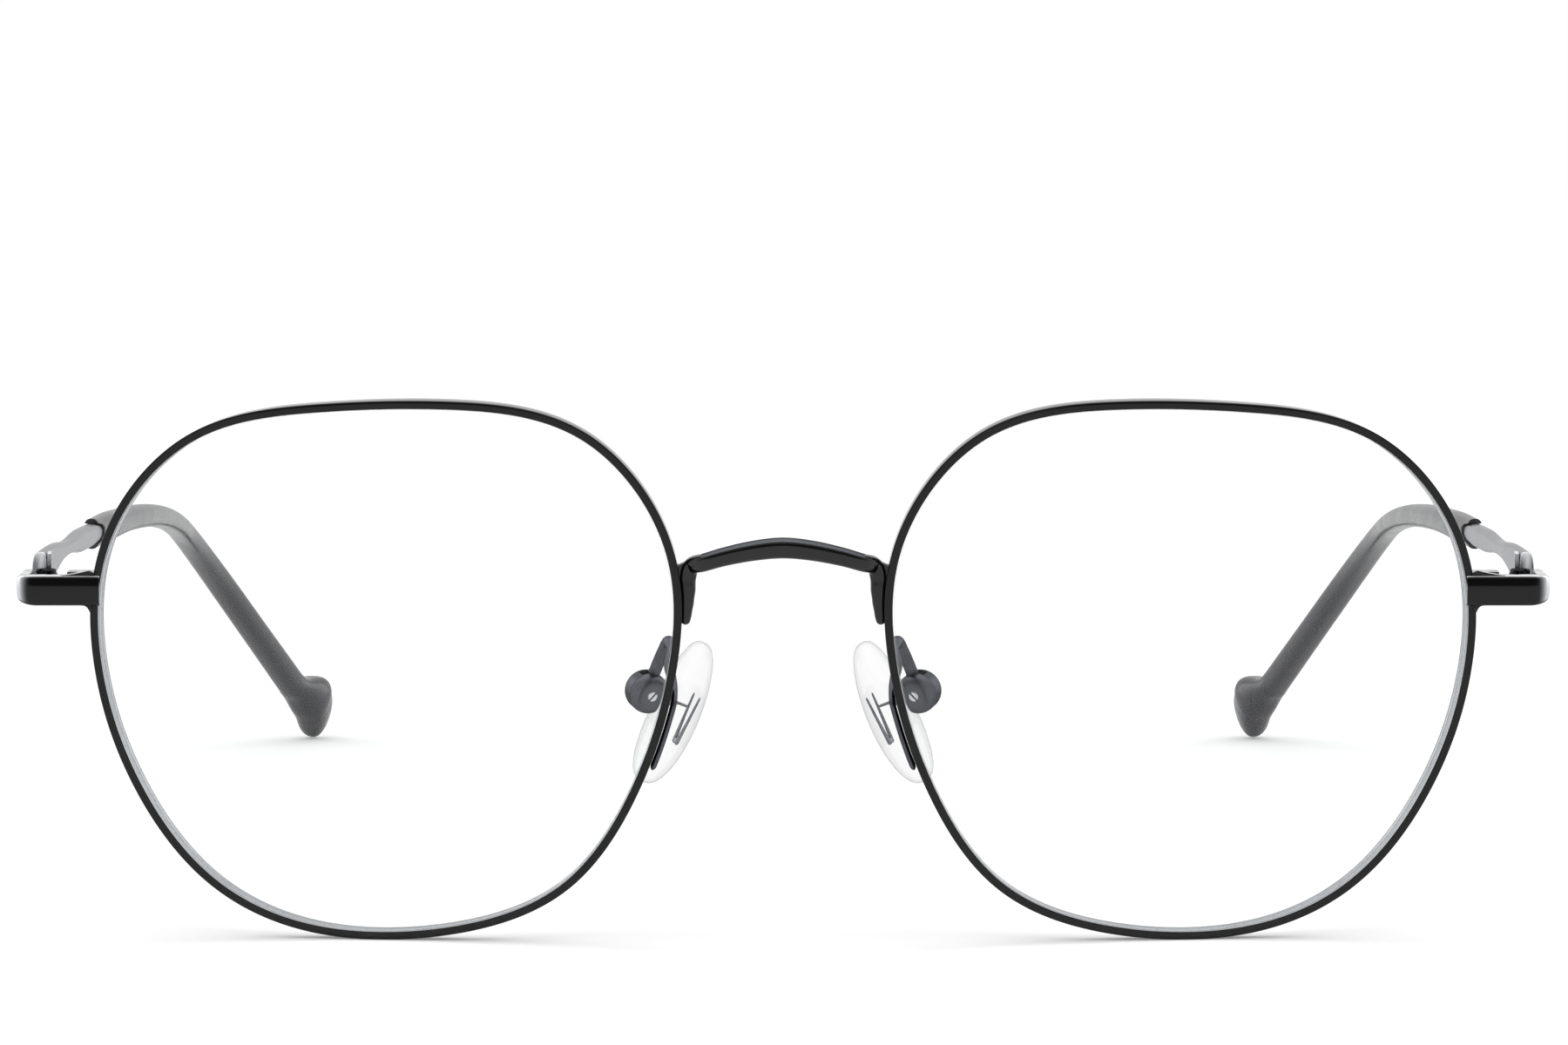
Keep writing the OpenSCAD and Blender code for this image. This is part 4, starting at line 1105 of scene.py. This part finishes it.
class EyeglassesStage(bpy.types.PropertyGroup):
    """Floor, lamps and camera."""
    floor_size: length_value("Floor size", "Side of the square floor", 16000)
    floor_glow: level_value("Floor glow", "Light that the background adds to what the camera sees", 0.2)
    world_level: level_value("Surroundings", "Light from the pale surroundings at table height", 0.35)
    world_top: level_value("Overhead", "Light from the pale surroundings straight above", 1.15)
    room_level: level_value("Room", "What gloss mirrors of the dim room behind the camera", 0.08)
    softbox: level_value("Softbox", "What gloss mirrors of the softbox straight above, over the white", 0.8)
    strip_lamp: level_value("Strip lamps", "Power of each tall lamp behind the sides", 1.6, "POWER")


class PieceOperator:
    """What the operators of pieces share: undo, and the finishes by name."""
    bl_options = {"REGISTER", "UNDO"}

    def finish(self, context, name):
        """A finish, made with all the others when the first is asked for."""
        if name not in bpy.data.materials:
            make_finishes(context.scene.eyeglasses_colours)
        return bpy.data.materials[name]


class EYEGLASSES_OT_rims(PieceOperator, bpy.types.Operator):
    """Rim wires with rounded edges round both lenses"""
    bl_idname = "eyeglasses.rims"
    bl_label = "Rims"

    def execute(self, context):
        edge = context.scene.eyeglasses_sizes.rim_edge / MM
        black = self.finish(context, "black_lacquer")
        pair = make_pair("rim_wire", rim_shells(edge), black, "front", "rim_{}", "black_metal")
        reflection_finish = self.finish(context, "painted_reflection_nickel")
        centre = at_front(lens_to_front(np.zeros(3)))
        # Faces that turn towards the lens's middle take light nickel, a painted reflection
        for rim, sign in zip(pair, SIDES.values()):
            middle = centre * [sign, 1, 1]
            painted_light_faces(rim, reflection_finish, lambda places, normals: (unit(middle - places) * normals).sum(1) > 0.6)
        finish_nodes(["rim_lock_upper", "rim_lock_lower"], black)
        return {"FINISHED"}


class EYEGLASSES_OT_lenses(PieceOperator, bpy.types.Operator):
    """Clear curved lenses"""
    bl_idname = "eyeglasses.lenses"
    bl_label = "Lenses"

    def execute(self, context):
        pair = make_pair("clear_lens", lens_shells(), self.finish(context, "clear_resin_lens"),
                         "front", "lens_{}", "clear_lens", sharp=20)
        for lens in pair:
            lens.visible_shadow = False
        return {"FINISHED"}


class EYEGLASSES_OT_bridge(PieceOperator, bpy.types.Operator):
    """Arched bridge with its two feet"""
    bl_idname = "eyeglasses.bridge"
    bl_label = "Bridge"

    def execute(self, context):
        bridge = make_piece("bridge_bar", bridge_shells() + web_shells(),
                            self.finish(context, "thick_black_lacquer"), "front", ["bridge"], "black_metal")
        # The top faces near the middle of the bridge take the darker plating as a painted highlight
        highlight_half_width = LENS_GAP * 0.38
        painted_light_faces(bridge, self.finish(context, "dark_gunmetal_plate_and_highlight"),
                   lambda places, normals: (normals[:, 2] > 0.45) & (abs(places[:, 0]) < highlight_half_width))
        return {"FINISHED"}


class EYEGLASSES_OT_end_pieces(PieceOperator, bpy.types.Operator):
    """End pieces with their brazed fillets"""
    bl_idname = "eyeglasses.end_pieces"
    bl_label = "End pieces"

    def execute(self, context):
        # Bright metal on the end pieces' top and sides is a painted highlight
        make_pair("end_strip", end_piece_shells() + braze_shells(),
                  self.finish(context, "black_lacquer_painted_highlight"),
                  "front", "end_piece_{}", "black_metal", sharp=50)
        return {"FINISHED"}


class EYEGLASSES_OT_hinges(PieceOperator, bpy.types.Operator):
    """Hinge leaves and barrels, and every slotted screw"""
    bl_idname = "eyeglasses.hinges"
    bl_label = "Hinges and screws"

    def execute(self, context):
        sizes = context.scene.eyeglasses_sizes
        steel = self.finish(context, "turned_steel")
        finish_nodes(["hinge_front"], self.finish(context, "black_lacquer"))
        finish_nodes(["hinge_temple"], self.finish(context, "gunmetal_plate"))
        make_pair("hinge_slotted_screw", hinge_screw_shells(sizes.hinge_slot / MM),
                  self.finish(context, "blackened_steel"), "front", "hinge_screw_{}", "screw_steel")
        make_pair("lock_slotted_screw", lock_screw_shells(sizes.small_slot / MM), steel,
                  "front", "rim_lock_screw_{}", "screw_steel")
        make_pair("pad_slotted_screw", pad_screw_shells(sizes.small_slot / MM), steel,
                  "front", "pad_screw_{}", "screw_steel")
        return {"FINISHED"}


class EYEGLASSES_OT_pads(PieceOperator, bpy.types.Operator):
    """Clear nose pads, their steel cores, boxes and arms"""
    bl_idname = "eyeglasses.pads"
    bl_label = "Nose pads"

    def execute(self, context):
        dark = self.finish(context, "dark_gunmetal_plate_and_highlight")
        make_pair("pad_arm_wire", arm_shells(), dark, "front", "pad_arm_{}", "dark_gunmetal")
        make_pair("pad_drum", drum_shells(), dark, "front", "pad_box_{}", "dark_gunmetal", sharp=50)
        make_pair("pad_insert", core_shells(), self.finish(context, "stamped_steel"),
                  "pad_{}", "pad_core_{}", "pad_core_steel")
        pair = make_pair("soft_pad", pad_shells(), self.finish(context, "clear_silicone"),
                         "pad_{}", "nose_pad_{}", "clear_pad")
        for pad in pair:
            pad.visible_shadow = False
        return {"FINISHED"}


class EYEGLASSES_OT_temples(PieceOperator, bpy.types.Operator):
    """Metal temples with their rounded tongues and core wires"""
    bl_idname = "eyeglasses.temples"
    bl_label = "Temples"

    def execute(self, context):
        make_pair("temple_metal", bar_shells(), self.finish(context, "gunmetal_plate"),
                  "temple_{}", "temple_bar_{}", "gunmetal")
        return {"FINISHED"}


class EYEGLASSES_OT_tips(PieceOperator, bpy.types.Operator):
    """Charcoal temple tips with a bulb at their ends"""
    bl_idname = "eyeglasses.tips"
    bl_label = "Temple tips"

    def execute(self, context):
        make_pair("tip_sleeve", tip_shells(), self.finish(context, "charcoal_acetate"),
                  "temple_{}", "temple_tip_{}", "charcoal_tip", sharp=50)
        return {"FINISHED"}


# The stage, in metres and degrees. The camera was fitted to the photograph's outlines.

LAMP_PLACE = np.array([0.8, 0.5, 0.35])
LAMP_SIZE = (0.4, 0.7)
LAMP_AIM = (0, 0, 0.02)
CAMERA_PLACE = (0, -0.6803, 0.09562)
CAMERA_TILT = 84.5
CAMERA_LENS = 162.28
CAMERA_SHIFT = 0.00056


def seen_by(tree, *kinds):
    """One for rays of these kinds, and zero for the light that falls on things."""
    path = add_node(tree, "ShaderNodeLightPath").outputs
    seen = path[kinds[0]]
    for kind in kinds[1:]:
        seen = add_node(tree, "ShaderNodeMath", {"operation": "MAXIMUM"}, _0=seen, _1=path[kind]).outputs[0]
    return seen


def make_floor(stage, colour):
    """A square pale floor that keeps the shadows and adds an even glow to what the camera sees."""
    half = stage.floor_size / 2
    mesh = bpy.data.meshes.new("floor")
    corners = [(-half, -half, 0), (half, -half, 0), (half, half, 0), (-half, half, 0)]
    mesh.from_pydata(corners, [], [(0, 1, 2, 3)])
    floor = bpy.data.objects.new("floor", mesh)
    bpy.context.scene.collection.objects.link(floor)
    # A matt painted board, too far off for its grain to show
    tree, shader, coordinates = new_finish("matt_white_board", Roughness=0.9, Specular_IOR_Level=0.0)
    tree.links.new(shades(tree, coordinates, colour, 400, 0.99, 1), shader.inputs["Base Color"])
    seen = seen_by(tree, "Is Camera Ray", "Is Glossy Ray", "Is Transmission Ray")
    strength = add_node(tree, "ShaderNodeMath", {"operation": "MULTIPLY"}, _0=seen, _1=stage.floor_glow)
    glow = add_node(tree, "ShaderNodeEmission", Color=(1, 1, 1, 1), Strength=strength.outputs[0])
    both = add_node(tree, "ShaderNodeAddShader", _0=shader.outputs[0], _1=glow.outputs[0])
    tree.links.new(both.outputs[0], tree.nodes["Material Output"].inputs["Surface"])
    mesh.materials.append(bpy.data.materials["matt_white_board"])


def make_world(stage):
    """White to the camera and to glass.

    The light on things grows overhead, and gloss mirrors a dim room in front and a softbox above.
    """
    world = bpy.data.worlds.new("studio")
    bpy.context.scene.world = world
    world.use_nodes = True
    tree = world.node_tree
    direction = add_node(tree, "ShaderNodeTexCoord").outputs["Generated"]
    parts = add_node(tree, "ShaderNodeSeparateXYZ", Vector=direction).outputs
    above, sides, ceiling, softbox = (
        add_node(tree, "ShaderNodeMapRange", SMOOTH_STEP, Value=parts[axis], From_Min=start, From_Max=stop,
                 To_Min=low, To_Max=high).outputs["Result"]
        for axis, start, stop, low, high in (
            ("Z", 0, 1, stage.world_level, stage.world_top),
            ("Y", -0.9, -0.2, stage.room_level, 1),
            ("Z", 0.25, 0.6, 0, 1),
            ("Z", 0.55, 0.85, 0, stage.softbox)))
    around = add_node(tree, "ShaderNodeMath", {"operation": "MAXIMUM"}, _0=sides, _1=ceiling).outputs[0]
    room = add_node(tree, "ShaderNodeMath", {"operation": "ADD"}, _0=around, _1=softbox).outputs[0]
    level = above
    for kinds, strength in ((["Is Glossy Ray"], room), (["Is Camera Ray", "Is Transmission Ray"], 1.0)):
        seen = seen_by(tree, *kinds)
        mixed = add_node(tree, "ShaderNodeMix", {"data_type": "FLOAT"}, _0=seen, _2=level, _3=strength)
        level = mixed.outputs[0]
    background = tree.nodes["Background"]
    background.inputs["Color"].default_value = (1, 1, 1, 1)
    tree.links.new(level, background.inputs["Strength"])


def make_lamp(name, place, size, power):
    """A rectangular soft lamp that looks at the glasses."""
    lamp = bpy.data.lights.new(name, "AREA")
    lamp.shape = "RECTANGLE"
    lamp.size, lamp.size_y = size
    lamp.energy = power
    lamp_object = bpy.data.objects.new(name, lamp)
    bpy.context.scene.collection.objects.link(lamp_object)
    way = unit(np.array(place) - np.array(LAMP_AIM))
    lamp_object.location = place
    lamp_object.rotation_euler = (math.acos(way[2]), 0, math.atan2(way[1], way[0]) + math.pi / 2)


def make_camera():
    """The photograph's view: a long lens, a little above the glasses and looking slightly down."""
    camera = bpy.data.cameras.new("camera")
    camera.sensor_fit = "HORIZONTAL"
    camera.sensor_width = 36
    camera.lens = CAMERA_LENS
    camera.shift_x = CAMERA_SHIFT
    camera_object = bpy.data.objects.new("camera", camera)
    camera_object.location = CAMERA_PLACE
    camera_object.rotation_euler = (math.radians(CAMERA_TILT), 0, 0)
    bpy.context.scene.collection.objects.link(camera_object)
    bpy.context.scene.camera = camera_object


class EYEGLASSES_OT_stage(bpy.types.Operator):
    """Pale floor, surroundings, soft lamps and the camera"""
    bl_idname = "eyeglasses.stage"
    bl_label = "Stage"
    bl_options = {"REGISTER", "UNDO"}

    def execute(self, context):
        stage = context.scene.eyeglasses_stage
        make_floor(stage, context.scene.eyeglasses_colours.floor)
        make_world(stage)
        for side, sign in SIDES.items():
            make_lamp(f"strip_lamp_{side}", LAMP_PLACE * [-sign, 1, 1], LAMP_SIZE, stage.strip_lamp)
        make_camera()
        context.scene.view_settings.view_transform = "Standard"
        return {"FINISHED"}


GROUPS = {
    "eyeglasses_sizes": EyeglassesSizes,
    "eyeglasses_colours": EyeglassesColours,
    "eyeglasses_stage": EyeglassesStage,
}
OPERATORS = [
    EYEGLASSES_OT_rims, EYEGLASSES_OT_lenses, EYEGLASSES_OT_bridge, EYEGLASSES_OT_end_pieces,
    EYEGLASSES_OT_hinges, EYEGLASSES_OT_pads, EYEGLASSES_OT_temples, EYEGLASSES_OT_tips, EYEGLASSES_OT_stage,
]


class EYEGLASSES_PT_panel(bpy.types.Panel):
    """Sizes, colours and one button for each group of pieces"""
    bl_idname = "EYEGLASSES_PT_panel"
    bl_label = "Eyeglasses"
    bl_space_type = "VIEW_3D"
    bl_region_type = "UI"
    bl_category = "Eyeglasses"

    def draw(self, context):
        for group_name in GROUPS:
            group = getattr(context.scene, group_name)
            box = self.layout.box()
            for name in group.__annotations__:
                box.prop(group, name)
        for operator in OPERATORS:
            self.layout.operator(operator.bl_idname)


CLASSES = [*GROUPS.values(), *OPERATORS, EYEGLASSES_PT_panel]


def register():
    for kind in CLASSES:
        bpy.utils.register_class(kind)
    for name, kind in GROUPS.items():
        setattr(bpy.types.Scene, name, bpy.props.PointerProperty(type=kind))


def unregister():
    for name in GROUPS:
        delattr(bpy.types.Scene, name)
    for kind in reversed(CLASSES):
        bpy.utils.unregister_class(kind)


def main():
    """Registers the add-on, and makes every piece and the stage."""
    register()
    for operator in OPERATORS:
        group, name = operator.bl_idname.split(".")
        getattr(getattr(bpy.ops, group), name)()


if __name__ == "__main__":
    main()
